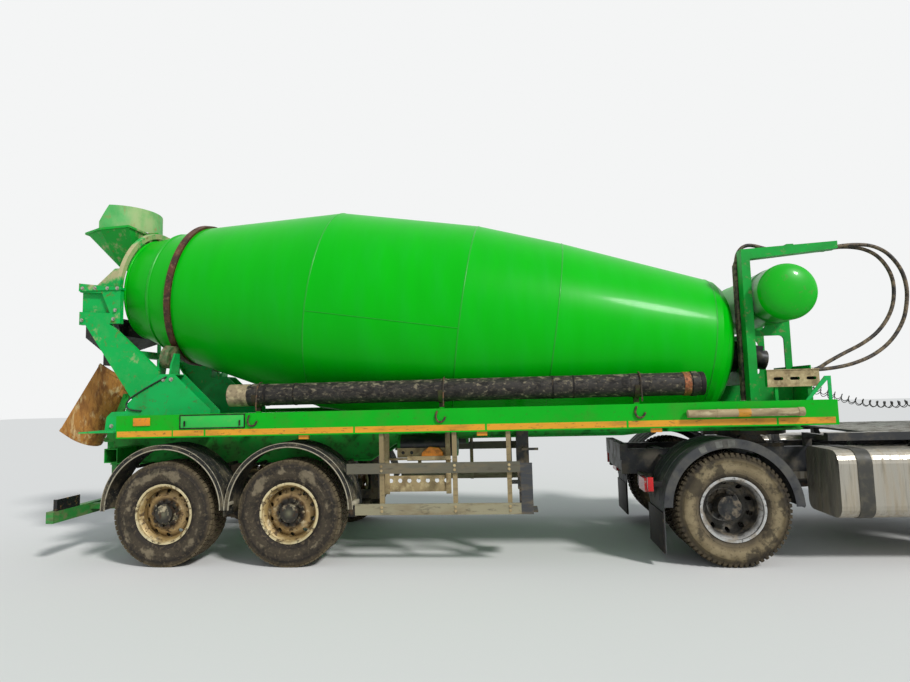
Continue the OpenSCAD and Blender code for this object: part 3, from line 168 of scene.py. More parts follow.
def tube(path, radius, sides):
    """Corners and faces of a round tube along a path, closed at both ends"""
    path = np.asarray(path, float)
    ahead = np.gradient(path, axis=0)
    ahead /= np.linalg.norm(ahead, axis=1)[:, None]
    side = np.cross(ahead[0], (0.31, 0.91, 0.27))
    rings = []
    for point, direction in zip(path, ahead):
        side = side - direction * side.dot(direction)
        side /= np.linalg.norm(side)
        other = np.cross(direction, side)
        turn = np.arange(sides) * 2 * math.pi / sides
        rings.append(point + radius * (np.cos(turn)[:, None] * side + np.sin(turn)[:, None] * other))
    n, m = len(path), sides
    faces = [(i * m + j, i * m + (j + 1) % m, (i + 1) * m + (j + 1) % m, (i + 1) * m + j)
             for i in range(n - 1) for j in range(m)]
    faces += [tuple(range(m - 1, -1, -1)), tuple(range((n - 1) * m, n * m))]
    return np.vstack(rings), faces


def joined(shapes):
    """Several sets of corners and faces as one"""
    corners, faces, start = [], [], 0
    for some, around in shapes:
        corners.append(np.asarray(some, float))
        faces += [tuple(i + start for i in f) for f in around]
        start += len(some)
    return np.vstack(corners), faces


def plain_mesh(made):
    """Turns the modifiers of an object into its plain mesh"""
    bpy.context.view_layer.update()
    result = bpy.data.meshes.new_from_object(made.evaluated_get(bpy.context.evaluated_depsgraph_get()))
    used = [m for m in result.materials if m][-1:]
    result.materials.clear()
    for material in used:
        result.materials.append(material)
    result.polygons.foreach_set("material_index", [0] * len(result.polygons))
    made.modifiers.clear()
    made.data = result
    return made


def part(name, shape, material, body=None, stands_for=(), edge=0.0, crease=35):
    """An object of a set of corners and faces, with its edges broken by edge, on a body"""
    corners, faces = shape
    mesh = bpy.data.meshes.new(name)
    mesh.from_pydata((np.asarray(corners, float) - (MIDDLE, 0, 0)).tolist(), [], faces)
    mesh.materials.append(material)
    work = bmesh.new()
    work.from_mesh(mesh)
    bmesh.ops.recalc_face_normals(work, faces=work.faces)
    work.to_mesh(mesh)
    work.free()
    made = placed(name, mesh)
    if edge:
        bevel = made.modifiers.new("edge", "BEVEL")
        bevel.width = edge
        bevel.segments = 2
        bevel.limit_method = "ANGLE"
        plain_mesh(made)
    made.data.shade_smooth()
    made.data.set_sharp_from_angle(angle=math.radians(crease))
    if body:
        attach(made, body)
    if stands_for:
        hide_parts(*stands_for)
    return made


def lathe(profile, middle, axis, sides=32, closed=False):
    """A profile of (radius, place along the axis) turned about an axis through middle. A radius of 0 is
    a pole"""
    axis = Vector(axis).normalized()
    first = axis.orthogonal().normalized()
    second = axis.cross(first)
    corners, rings = [], []
    for r, s in profile:
        count = sides if r else 1
        rings.append([len(corners) + j % count for j in range(sides)])
        for j in range(count):
            a = 2 * math.pi * j / sides
            corners.append(tuple(Vector(middle) + axis * s
                                 + (first * math.cos(a) + second * math.sin(a)) * r))
    faces = []
    for i in range(len(profile) if closed else len(profile) - 1):
        low, high = rings[i], rings[(i + 1) % len(profile)]
        for j in range(sides):
            k = (j + 1) % sides
            faces.append(tuple(dict.fromkeys((low[j], low[k], high[k], high[j]))))
    if not closed:
        faces += [tuple(ring) for ring in (rings[0][::-1], rings[-1]) if len(set(ring)) > 1]
    return np.array(corners), faces


def noise(tree, place, scale, detail, roughness=0.5):
    """The value of a noise texture"""
    return put(tree, "ShaderNodeTexNoise",
               {"Vector": place, "Scale": scale, "Detail": detail, "Roughness": roughness}).outputs[0]


def ranged(tree, value, *ends, **settings):
    """A value carried over from a low and a high to 0 and 1, or to a new low and high"""
    return put(tree, "ShaderNodeMapRange", dict(enumerate((value, *ends))), **settings).outputs[0]


def laid_over(tree, share, under, over, **settings):
    """One colour over another, by a share"""
    return put(tree, "ShaderNodeMix", {0: share, 6: under, 7: over}, data_type="RGBA",
               **settings).outputs[2]


def worn(name, colour, rough, layers=(), metallic=0.0, shade=0.06, grit=160.0, bump=0.15, dent=0.0,
         coat=0.0, gloss=0.5, stretch=(1, 1, 1), where=None, matt_dirt=0.85):
    """A surface under layers of dirt or wear. A layer is (colour, share of the surface, patches in a
    metre, width of the patches' edges, strength). where gives the value that the first layer grows
    with. colour is a hex value or a function of the tree and the place."""
    material = fresh_material(name)
    tree = material.node_tree
    place = put(tree, "ShaderNodeTexCoord").outputs["Object"]
    stretched = put(tree, "ShaderNodeMapping", {"Vector": place, "Scale": stretch}).outputs[0]
    tone = ranged(tree, noise(tree, stretched, 2.3, 5.0), 0.3, 0.7, 1 - shade, 1 + shade)
    ground = colour(tree, place) if callable(colour) else linear(colour)
    colours = laid_over(tree, 1.0, ground, tone, blend_type="MULTIPLY")
    height = noise(tree, place, grit, 3.0)
    roughs = rough
    metals = metallic
    for number, (tint, share, grain, width, strength) in enumerate(layers):
        value = noise(tree, stretched, grain, 7.0, 0.62)
        if where and number == 0:
            value = maths(tree, "ADD", value, where(tree, place))
        middle = 0.5 + 0.3 * (0.5 - share)
        mask = ranged(tree, value, middle - width / 2, middle + width / 2, 0.0, strength,
                      interpolation_type="SMOOTHSTEP")
        colours = laid_over(tree, mask, colours, linear(tint))
        roughs = put(tree, "ShaderNodeMix", {0: mask, 2: roughs, 3: matt_dirt}).outputs[0]
        if metallic:
            metals = put(tree, "ShaderNodeMix", {0: mask, 2: metals, 3: 0.0}).outputs[0]
        height = maths(tree, "MULTIPLY_ADD", mask, 0.7, height)
    normal = put(tree, "ShaderNodeBump", {"Height": height, "Strength": bump, "Distance": 0.002})
    if dent:
        normal = put(tree, "ShaderNodeBump", {"Height": noise(tree, stretched, 2.2, 2.0), "Strength": dent,
                                              "Distance": 0.03, "Normal": normal.outputs[0]})
    return shaded(material, {"Base Color": colours, "Roughness": roughs, "Metallic": metals,
                             "Normal": normal.outputs[0], "Coat Weight": coat, "Coat Roughness": 0.1,
                             "Specular IOR Level": gloss})


# Oily rubber: near black where it hangs in the shade, tan where splashed cement has dried on top
hose_rubber = worn("oiled_hose_rubber", "#2b2521", 0.5,
                   [("#86735a", 0.5, 9, 0.2, 0.8), ("#100e0d", 0.3, 22, 0.1, 0.7)], grit=420, bump=0.3)
# Bright zinc, dulled to grey and tan
zinc = worn("zinc_plated_steel", "#b2b1a7", 0.35, [("#8c7a5a", 0.35, 40, 0.15, 0.8)], metallic=0.9,
            bump=0.1)
outer_route = [(5.945, 1.4443), (5.945, 2.1), (5.945, 2.85), (5.95, 2.96), (5.97, 3.05),
               (6.015, 3.115), (6.08, 3.142), (6.16, 3.132), (6.26, 3.1), (6.38, 3.085), (6.9, 3.085),
               (7.03, 3.095), (7.17, 3.098), (7.31, 3.078), (7.433, 3.015), (7.524, 2.915), (7.591, 2.78),
               (7.617, 2.62), (7.603, 2.463), (7.561, 2.307), (7.48, 2.163), (7.372, 2.042), (7.227, 1.942),
               (7.064, 1.874), (6.9, 1.835), (6.72, 1.815), (6.5705, 1.815)]
inner_route = [(5.945, 1.4443), (5.945, 2.1), (5.945, 2.85), (5.953, 2.94), (5.985, 3.01), (6.045, 3.06),
               (6.13, 3.082), (6.25, 3.085), (6.9, 3.085), (7.03, 3.09), (7.15, 3.082), (7.27, 3.052),
               (7.38, 2.985), (7.465, 2.875), (7.515, 2.739), (7.52, 2.59), (7.49, 2.44), (7.42, 2.3),
               (7.309, 2.17), (7.16, 2.065), (6.98, 1.975), (6.82, 1.89), (6.74, 1.84), (6.665, 1.815),
               (6.5705, 1.815)]
for name, y, line in (("hose_outer", -0.605, outer_route), ("hose_inner", -0.557, inner_route)):
    route = [(x, y, z) for x, z in line]
    path = smooth_path(route, 4)
    sleeve = [(0.0, 0.001), (0.024, 0.001), (0.024, 0.016), (0.0215, 0.018), (0.0215, 0.07), (0.020, 0.075),
              (0.019, 0.075)]
    sleeves = joined([lathe(sleeve, route[0], (0, 0, 1), 12), lathe(sleeve, route[-1], (1, 0, 0), 12)])
    ends = part(name + "_sleeves", sleeves, zinc, "trailer")
    hose = part(name + "_rubber", tube(path, 0.019, 12), hose_rubber, "trailer", stands_for=(name,))

# Air lines
# Two nylon air lines, coiled like springs, hang between the trailer's bulkhead and the bracket
# behind the cab. A straight tail and a brass nut end each.

# Black nylon with a hard sheen, and a brass nut gone brown in its corners
nylon = worn("black_nylon_tube", "#1b1b1d", 0.4, [("#6b6253", 0.3, 20, 0.15, 0.6)], bump=0.05)
brass = worn("brass", "#b08c46", 0.32, [("#5b4a2b", 0.4, 50, 0.15, 0.8)], metallic=1.0, bump=0.1)
coil_line = [(6.5705, 1.70), (6.66, 1.70), (6.82, 1.64), (7.0, 1.57), (7.2, 1.50), (7.4, 1.45),
             (7.6, 1.425), (7.8, 1.425), (8.0, 1.45), (8.2, 1.495), (8.36, 1.54), (8.48, 1.54)]
turns = 26
coil_radius = 0.0335
for name, y in (("air_line_left", 0.020), ("air_line_right", -0.130)):
    middle = smooth_path([(x, y, z) for x, z in coil_line], 60)
    along = np.concatenate([[0], np.cumsum(np.linalg.norm(np.diff(middle, axis=0), axis=1))])
    spots = np.linspace(0, along[-1], turns * 16 + 1)
    path = np.stack([np.interp(spots, along, middle[:, k]) for k in range(3)], axis=1)
    ahead_now = np.gradient(path, axis=0)
    ahead_now /= np.linalg.norm(ahead_now, axis=1)[:, None]
    over = np.cross(ahead_now, (0, 1, 0))
    grown = np.clip(np.minimum(spots - 0.05, along[-1] - 0.05 - spots) / 0.06, 0, 1)
    grown = coil_radius * grown * grown * (3 - 2 * grown)
    turn = np.linspace(0, turns * 2 * math.pi, len(spots))
    circle = np.cos(turn)[:, None] * over + np.sin(turn)[:, None] * np.array((0, 1, 0))
    path = path + grown[:, None] * circle
    line = part(name + "_coil", tube(path, 0.004, 6), nylon, stands_for=(name,))
    nuts = [part(name + "_nut_" + end, lathe([(0.0, 0.0), (0.011, 0.0), (0.011, 0.022), (0.007, 0.026),
                                             (0.007, 0.045), (0.0, 0.045)], spot, aim, 6), brass, body)
            for end, spot, aim, body in (("rear", path[0], (1, 0, 0), "trailer"),
                                         ("front", path[-1], (-1, 0, 0), "tractor"))]
    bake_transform(line)

# Trailer frame and pedestals
# Welded steel beams and plates in green enamel, dulled by road dirt, with cement splashes that
# thicken towards the drum's mouth.


def split_axis(tree, place, axis):
    """One coordinate of a place: 0 along the lorry, 1 across it, 2 up"""
    return put(tree, "ShaderNodeSeparateXYZ", {0: place}).outputs[axis]


def rising(axis, start, end, amount):
    """A value that grows from start to end along an axis"""
    def value(tree, place):
        return ranged(tree, split_axis(tree, place, axis), start, end, 0.0, amount)
    return value


def wear(node, material):
    """Gives a CAD node its material"""
    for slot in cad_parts[node].material_slots:
        slot.material = material


# Deep green enamel under a thin grey road film
frame_paint = worn("green_frame_enamel", "#06992c", 0.45,
                   [("#55633a", 0.3, 4, 0.3, 0.5), ("#2c2f1c", 0.22, 15, 0.16, 0.6)], shade=0.12, grit=240,
                   bump=0.12, gloss=0.25)
# The same green, washed brighter and bluer where the sky lights the plates
plate_paint = worn("green_plate_enamel", "#09b254", 0.4,
                   [("#2e7a3a", 0.25, 5, 0.3, 0.45), ("#5a5a34", 0.1, 22, 0.12, 0.6)], shade=0.07, grit=240,
                   bump=0.1, gloss=0.25)
# Green with dried cement, cream and rust brown, thick round the mouth and thin on the arm
rear_paint = worn("green_enamel_with_cement", "#0cab4c", 0.42,
                  [("#bfb088", 0.02, 6, 0.16, 0.9), ("#7a4e26", 0.05, 15, 0.12, 0.7),
                   ("#4fa85a", 0.2, 7, 0.24, 0.4)], where=rising(2, 2.88, 3.12, 0.2), shade=0.08, grit=200,
                  bump=0.2, gloss=0.2)
wear("trailer_frame", frame_paint)
wear("chute_swivel", frame_paint)
wear("front_pedestal",
     worn("green_drive_stand_enamel", "#08a238", 0.42,
          [("#1f6a2c", 0.3, 4, 0.3, 0.5), ("#8a8258", 0.08, 14, 0.12, 0.7)], gloss=0.25, bump=0.1))
wear("rear_pedestal", plate_paint)
wear("discharge_frame", rear_paint)
wear("landing_legs",
     worn("black_chassis_paint", "#242526", 0.5, [("#7d6e56", 0.35, 8, 0.2, 0.7)], grit=200))

# A painted steel grease line runs from the roller's bearing down the pedestal, with its lead loop
grease_line = [(-0.26, -0.762, 1.93), (-0.448, -0.762, 1.836), (-0.60, -0.762, 1.752),
               (-0.69, -0.762, 1.69), (-0.725, -0.762, 1.628), (-0.68, -0.762, 1.578),
               (-0.547, -0.762, 1.559)]
line_steel = worn("black_oiled_line", "#15251a", 0.5, [("#4b5a3a", 0.3, 20, 0.15, 0.6)])
part("grease_lines", joined([tube(smooth_path([(x, s * y, z) for x, y, z in grease_line], 5), 0.009, 8)
                             for s in (1, -1)]), line_steel, "trailer")

# Tyres
# Vulcanised black rubber: worn ribs on the trailer and the front axle, and open blocks on the driven
# wheels. The tread is moulded in blocks round a plain carcass.

AXLE = 0.522
AXLES = {"rear": 0.0, "front": 1.31, "drive": 5.56, "steer": 9.26}


def wheel_distance(tree, place):
    """How far a place lies from the line through the middle of the nearest wheel"""
    flat = put(tree, "ShaderNodeVectorMath", {0: place, 1: (1, 0, 1)}, operation="MULTIPLY").outputs[0]
    gaps = [put(tree, "ShaderNodeVectorMath", {0: flat, 1: (x - MIDDLE, 0, AXLE)},
                operation="DISTANCE").outputs["Value"] for x in AXLES.values()]
    nearest = gaps[0]
    for gap in gaps[1:]:
        nearest = maths(tree, "MINIMUM", nearest, gap)
    return nearest


def stepped(tree, value, stops, span, interpolation="LINEAR"):
    """The colour of a ramp over 0 to span, with stops of (place, colour)"""
    ramp = put(tree, "ShaderNodeValToRGB", {0: maths(tree, "MULTIPLY", value, 1 / span)})
    ramp.color_ramp.interpolation = interpolation
    steps = ramp.color_ramp.elements
    steps.remove(steps[1])
    steps[0].position = stops[0][0] / span
    steps[0].color = linear(stops[0][1])
    for spot, tint in stops[1:]:
        steps.new(spot / span).color = linear(tint)
    return ramp.outputs[0]


def ringed(stops):
    """Colours in rings round each wheel's middle, a little uneven"""
    def colour(tree, place):
        uneven = maths(tree, "MULTIPLY_ADD", noise(tree, place, 12.0, 5.0), 0.04, -0.02)
        return stepped(tree, maths(tree, "ADD", wheel_distance(tree, place), uneven), stops, 0.6)
    return colour


def widest(tree, place):
    """A value that is greatest where the sidewall bulges most"""
    off = maths(tree, "ABSOLUTE", maths(tree, "SUBTRACT", wheel_distance(tree, place), 0.405))
    return ranged(tree, off, 0.0, 0.07, 0.12, -0.06)


# Black rubber, dark at the bead and the shoulder, with pale mud dried on the bulge and dust in the tread
trailer_tyre = worn("muddy_tyre_rubber",
                    ringed([(0.29, "#241f1a"), (0.33, "#2d2721"), (0.37, "#433b2f"), (0.43, "#3b342a"),
                            (0.47, "#2a2520"), (0.505, "#4d4332"), (0.53, "#665a43")]), 0.8,
                    [("#8f826a", 0.16, 6, 0.1, 0.6), ("#1a1815", 0.26, 9, 0.16, 0.6),
                     ("#6a5d48", 0.2, 30, 0.12, 0.5)], where=widest, grit=500, bump=0.25, gloss=0.3)
# The driven tyres carry more dry mud, tan from the bead to the blocks
tractor_tyre = worn("dusty_tyre_rubber", ringed([(0.29, "#2f2a23"), (0.32, "#564c3c"), (0.38, "#7f7156"),
                                                 (0.44, "#63573f"), (0.475, "#40382a"), (0.53, "#4f4533")]),
                    0.85, [("#958769", 0.22, 5, 0.16, 0.5), ("#26221d", 0.34, 6, 0.1, 0.75),
                           ("#3e372b", 0.22, 26, 0.1, 0.5)], where=widest, grit=500, bump=0.25, gloss=0.3)


def tread_block(a0, a1, y0, y1, low, high):
    """One block of a tread between two angles and two places across the tyre"""
    taper = 0.06 * (a1 - a0)
    slim = 0.06 * (y1 - y0)
    ring = [(low, a0, y0), (low, a1, y0), (low, a1, y1), (low, a0, y1), (high, a0 + taper, y0 + slim),
            (high, a1 - taper, y0 + slim), (high, a1 - taper, y1 - slim), (high, a0 + taper, y1 - slim)]
    corners = [(r * math.sin(a), y, r * math.cos(a)) for r, a, y in ring]
    return corners, [(0, 1, 2, 3), (4, 7, 6, 5), (0, 4, 5, 1), (1, 5, 6, 2), (2, 6, 7, 3), (3, 7, 4, 0)]


def layout(name, inputs):
    """A geometry node tree with named inputs, and the sockets that bring them in"""
    tree = bpy.data.node_groups.new(name, "GeometryNodeTree")
    tree.interface.new_socket("Geometry", in_out="INPUT", socket_type="NodeSocketGeometry")
    for title, value in inputs.items():
        kind = "NodeSocketInt" if isinstance(value, int) else "NodeSocketFloat"
        tree.interface.new_socket(title, in_out="INPUT", socket_type=kind).default_value = value
    tree.interface.new_socket("Geometry", in_out="OUTPUT", socket_type="NodeSocketGeometry")
    return tree, put(tree, "NodeGroupInput").outputs


def laid_out(made, tree, copies, material):
    """Makes the copies of a layout real in one material, and leaves them as the object's plain mesh"""
    real = put(tree, "GeometryNodeRealizeInstances", {0: copies.outputs[0]})
    painted = put(tree, "GeometryNodeSetMaterial", {"Geometry": real.outputs[0], "Material": material})
    put(tree, "NodeGroupOutput", {0: painted.outputs[0]})
    made.modifiers.new("layout", "NODES").node_group = tree
    return plain_mesh(made)


def tyre(node, centres, width, driven, rubber, body):
    """The tyres of one hub, with their blocks set round the carcass by a node tree"""
    half = width / 2
    side = [(0.2855, 0.046), (0.304, 0.0385), (0.312, 0.030), (0.318, 0.026), (0.330, 0.016),
            (0.338, 0.0125), (0.342, 0.0145), (0.372, 0.006), (0.411, 0.0005), (0.446, 0.0055),
            (0.450, 0.0035), (0.456, 0.008), (0.472, 0.012), (0.500, 0.020), (0.506, 0.030)]
    skin = lathe([(r, half - d) for r, d in side] + [(0.5075, half * k) for k in (0.6, 0.2, -0.2, -0.6)]
                 + [(r, d - half) for r, d in side[::-1]], (0, 0, 0), (0, 1, 0), 72, closed=True)
    tread = half - 0.022
    if driven:
        count = 64
        rows = [(-1, -0.60, 0.0, 0.64), (-0.52, -0.18, 0.5, 0.80), (-0.10, 0.10, 0.2, 0.84),
                (0.18, 0.52, 0.5, 0.80), (0.60, 1, 0.0, 0.64)]
    else:
        count = 60
        rows = [(-1, -0.66, 0.0, 0.93), (-0.56, -0.24, 0.4, 0.95), (-0.15, 0.15, 0.7, 0.95),
                (0.24, 0.56, 0.4, 0.95), (0.66, 1, 0.0, 0.93)]
    pitch = 2 * math.pi / count
    shapes = [tread_block(pitch * shift, pitch * (shift + share), tread * y0, tread * y1, 0.504, AXLE)
              for y0, y1, shift, share in rows]
    if driven:
        for s in (-1, 1):
            low, high = sorted((s * (tread - 0.004), s * (half - 0.010)))
            shapes.append(tread_block(0, pitch * 0.62, low, high, 0.484, 0.511))
    mesh = bpy.data.meshes.new(node + "_block")
    corners, faces = joined(shapes)
    mesh.from_pydata(corners.tolist(), [], faces)
    block = placed(node + "_block", mesh)
    tree, given = layout(node + "_tread", {"Blocks round the tyre": count, "Angle of a pitch": pitch})
    points = put(tree, "GeometryNodeMeshLine", {"Count": given[1], "Offset": (0, 0, 0)})
    angle = maths(tree, "MULTIPLY", put(tree, "GeometryNodeInputIndex").outputs[0], given[2])
    turn = put(tree, "ShaderNodeCombineXYZ", {1: angle})
    lug = put(tree, "GeometryNodeObjectInfo", {"Object": block})
    ring = put(tree, "GeometryNodeInstanceOnPoints",
               {"Points": points.outputs[0], "Rotation": turn.outputs[0],
                "Instance": lug.outputs["Geometry"]})
    whole = put(tree, "GeometryNodeJoinGeometry")
    tree.links.new(ring.outputs[0], whole.inputs[0])
    tree.links.new(given[0], whole.inputs[0])
    made = part(node + "_rubber", (skin[0] + (MIDDLE, 0, 0), skin[1]), rubber)
    laid_out(made, tree, whole, rubber)
    bpy.data.objects.remove(block)
    single = np.array([v.co[:] for v in made.data.vertices])
    around = [tuple(p.vertices) for p in made.data.polygons]
    bpy.data.objects.remove(made)
    part(node + "_rubber", joined([(single + centre, around) for centre in centres]), rubber, body,
         stands_for=(node,))


for end in ("rear", "front"):
    for side, s in (("left", 1), ("right", -1)):
        tyre(f"trailer_tyre_{end}_{side}", [(AXLES[end], 1.050 * s, AXLE)], 0.380, False, trailer_tyre,
             f"{end}_{side}_trailer_wheel")
for side, s in (("left", 1), ("right", -1)):
    tyre(f"steer_tyre_{side}", [(AXLES["steer"], 1.025 * s, AXLE)], 0.300, False, tractor_tyre,
         f"{side}_steer_wheel")
    tyre(f"drive_tyres_{side}", [(AXLES["drive"], y * s, AXLE) for y in (1.085, 0.740)], 0.300, True,
         tractor_tyre, f"{side}_drive_wheels")

# Rims and hubs
# Pressed steel wheels, painted silver, each on ten nuts. The trailer's have gone tan with dust and
# rust, and the tractor's are cleaner, with a dark hub.

# Silver paint under baked brake dust: cream at the lip, tan on the disc and near black at the hub; the
# small pale spot at the very middle is a painted highlight
trailer_rim = worn("dusty_silver_wheel_paint_and_hub_highlight",
                   ringed([(0.0, "#6f6c55"), (0.03, "#4b483b"), (0.06, "#2c2922"),
                           (0.13, "#2a251d"), (0.15, "#6b5534"), (0.18, "#a98d5e"), (0.205, "#b3986a"),
                           (0.23, "#7b6540"), (0.262, "#9c8352"), (0.285, "#cdbb8e"), (0.3, "#d8caa2")]),
                   0.5, [("#3a2613", 0.26, 22, 0.1, 0.85), ("#d9cba6", 0.14, 12, 0.16, 0.6)], metallic=0.3,
                   shade=0.12, bump=0.3)
# Silver paint with a grey film; the hub is dark and oily
tractor_rim = worn("silver_wheel_paint",
                   ringed([(0.0, "#4a4a48"), (0.07, "#2c2d2f"), (0.14, "#3d3c3a"), (0.165, "#a3a09a"),
                           (0.21, "#8f8c84"), (0.245, "#4c4a46"), (0.275, "#b4b3b0"), (0.3, "#c9c9c7")]),
                   0.32, [("#857863", 0.34, 9, 0.16, 0.7), ("#2e2a25", 0.16, 30, 0.1, 0.7)], metallic=0.7,
                   bump=0.15)
for end in ("rear", "front"):
    for side in ("left", "right"):
        wear(f"trailer_rim_{end}_{side}", trailer_rim)
for side in ("left", "right"):
    wear(f"steer_rim_{side}", tractor_rim)
    wear(f"drive_rims_{side}", tractor_rim)

# Side rails
# Folded steel channels down both sides in bright green, with a reflecting amber tape along the
# lower half. Hooks of round bar over the cradles keep the spare pipe down.

RAIL = 1.250


def rail_colour(tree, place):
    """Green up to the rail's top, and rusty brown for the pipe cradles that stand on it"""
    return stepped(tree, split_axis(tree, place, 2), [(0.0, "#08ab1c"), (1.53, "#3b3526")], 2.0, "CONSTANT")


# Bright gloss green, with a little dust and a few dull chips
rail_paint = worn("green_rail_enamel", rail_colour, 0.4,
                  [("#4a7a2c", 0.16, 5, 0.3, 0.35), ("#3f5a24", 0.05, 24, 0.1, 0.5)], shade=0.07, grit=240,
                  bump=0.08, gloss=0.15)
wear("side_rails", rail_paint)
# Amber film with a fine prism grain, browned by dirt towards the front
amber_tape = worn("amber_reflecting_tape", "#e09a1e", 0.34,
                  [("#7a5a20", 0.16, 4, 0.3, 0.7), ("#4a3a22", 0.1, 30, 0.1, 0.7)],
                  where=rising(0, 0.6, 2.2, 0.12), grit=900, bump=0.1, stretch=(0.5, 1, 2))


def cuboid(x, y, z):
    """A box between two values along each axis"""
    corners = [(a, b, c) for a in x for b in sorted(y) for c in z]
    return corners, [(0, 1, 3, 2), (4, 6, 7, 5), (0, 4, 5, 1), (2, 3, 7, 6), (0, 2, 6, 4), (1, 5, 7, 3)]


def mirrored(shapes):
    """The shapes and their mirror images across the middle of the lorry, as one"""
    turned_over = [([(x, -y, z) for x, y, z in some], [f[::-1] for f in faces]) for some, faces in shapes]
    return joined(shapes + turned_over)


tape_runs = [(-0.488, 0.10), (0.115, 0.44), (0.46, 1.98), (2.0, 3.28), (3.30, 4.62), (4.64, 5.98),
             (6.0, 6.5)]
part("rail_tape", mirrored([cuboid(x, (-RAIL - 0.0012, -RAIL), (1.304, 1.362)) for x in tape_runs]),
     amber_tape, "trailer")
# Round bar, brown with rust
hook_steel = worn("rusty_round_bar", "#3a342c", 0.6, [("#6f4f30", 0.4, 30, 0.12, 0.8)], metallic=0.4,
                  bump=0.3)
hooks = []
pipe_y, pipe_z, pipe_radius = -1.100, 1.700, 0.111
for x in (0.98, 2.88, 4.78):
    over = [(x, pipe_y - 0.128 * math.cos(a), pipe_z + 0.128 * math.sin(a))
            for a in np.radians(range(12, 108, 12))]
    hooks.append(tube(smooth_path([(x, -1.236, 1.545), (x, -1.240, 1.60), (x, -1.226, 1.70)] + over, 2),
                      0.007, 6))
    under = [(x - 0.06, -1.2585, 1.50), (x - 0.075, -1.262, 1.44), (x - 0.05, -1.263, 1.395),
             (x - 0.005, -1.262, 1.40), (x + 0.02, -1.2585, 1.44)]
    hooks.append(tube(smooth_path(under, 4), 0.010, 6))
part("pipe_hooks", joined(hooks), hook_steel, "trailer")

# A dust-coated tube stands clamped to the front of the right rail, with a cap on its end
tube_tan = worn("dust_coated_tube", "#a5936f", 0.75,
                [("#6d5c40", 0.35, 9, 0.2, 0.7), ("#d0c09a", 0.25, 16, 0.16, 0.7)], grit=300, bump=0.3,
                stretch=(0.4, 1, 1))
tube_start = (5.175, -1.2865, 1.418)
part("rail_tube", lathe([(0.0, 0.0), (0.036, 0.0), (0.036, 0.26), (0.0385, 0.262), (0.0385, 0.29),
                         (0.036, 0.292), (0.036, 0.98), (0.041, 0.982), (0.041, 1.035), (0.030, 1.04),
                         (0.0, 1.04)], tube_start, (1, 0, 0), 28), tube_tan, "trailer")
part("rail_tube_label", lathe([(0.0362, 0.45), (0.0366, 0.452), (0.0366, 0.56), (0.0362, 0.562)],
                              tube_start, (1, 0, 0), 28, closed=True), amber_tape, "trailer")
part("rail_tube_clamps", joined([cuboid((x, x + 0.03), (tube_start[1], -RAIL - 0.0003), (1.380, 1.456))
                                 for x in (5.44, 5.95)]),
     hook_steel, "trailer", edge=0.003)

# Running gear
# Cast and forged axles, springs, brake chambers and air tanks in black chassis paint.

# Black paint under a crust of dust and rust
axle_paint = worn("dusty_chassis_paint", "#2a2826", 0.6,
                  [("#7d6d56", 0.4, 7, 0.2, 0.7), ("#5a3f28", 0.2, 22, 0.12, 0.7)], grit=180, bump=0.3)
for node in ("trailer_axles", "tractor_axles", "knuckle_left", "knuckle_right"):
    wear(node, axle_paint)
# Satin black enamel over the air tanks under the frame
tank_black = worn("satin_black_enamel", "#17181b", 0.38, [("#5c5446", 0.25, 8, 0.25, 0.5)], bump=0.08)
part("air_tank_skins",
     joined([lathe([(0.0, 0.0), (0.06, 0.001), (0.1, 0.012), (0.1155, 0.03), (0.1155, 0.592), (0.1, 0.61),
                    (0.06, 0.621), (0.0, 0.622)], (2.349, y, 1.13), (1, 0, 0), 32) for y in (-0.77, 0.77)]),
     tank_black, "trailer")

# Mudguards
# Half rounds of black polyethylene on the trailer, each with a rolled lip whose edge is pale, partly
# rubbed and partly a painted highlight, and grey ones on the tractor.

# Dull black plastic under dust, tan near the road
guard_plastic = worn("black_polyethylene", "#262624", 0.62,
                     [("#7a6f58", 0.2, 6, 0.24, 0.6), ("#a59b82", 0.08, 45, 0.08, 0.6)],
                     where=rising(2, 1.15, 0.6, 0.06), grit=300, bump=0.2, gloss=0.2)
# The rolled lip in pale grey: partly rubbed wear, partly a painted highlight along the rounded edge
lip_plastic = worn("rubbed_polyethylene_lip_and_painted_highlight", "#a29a85", 0.6, [("#4a463c", 0.25, 12, 0.16, 0.7)], grit=300,
                   bump=0.2, gloss=0.25)
# Grey plastic, evenly dusty
tractor_guard = worn("grey_guard_plastic", "#414244", 0.6,
                     [("#6f6b5e", 0.34, 4, 0.3, 0.5), ("#2a2a2c", 0.2, 12, 0.2, 0.5)], grit=400, bump=0.12,
                     gloss=0.2)
wear("trailer_mudguards", guard_plastic)
wear("tractor_mudguards", tractor_guard)


def prism(outline, near, far):
    """An outline of (x, z) drawn across the lorry from near to far"""
    n = len(outline)
    return ([(x, y, z) for y in (near, far) for x, z in outline],
            [tuple(range(n - 1, -1, -1)), tuple(range(n, 2 * n))]
            + [(i, (i + 1) % n, n + (i + 1) % n, n + i) for i in range(n)])


def arc(x, z, radius, start, end, steps):
    """Points (x, z) along an arch between two angles"""
    return [(x + radius * math.cos(a), z + radius * math.sin(a))
            for a in np.radians(np.linspace(start, end, steps))]


def arch_lip(x, z, radius, y, start, end, thick):
    """A round bead along an arch"""
    return tube([(u, y, v) for u, v in arc(x, z, radius, start, end, 40)], thick, 8)


def arch_band(x, z, inner, outer, y, start, end, steps=12):
    """A flat curved plate between two radii and two angles"""
    return prism(arc(x, z, outer, start, end, steps) + arc(x, z, inner, end, start, steps), *y)


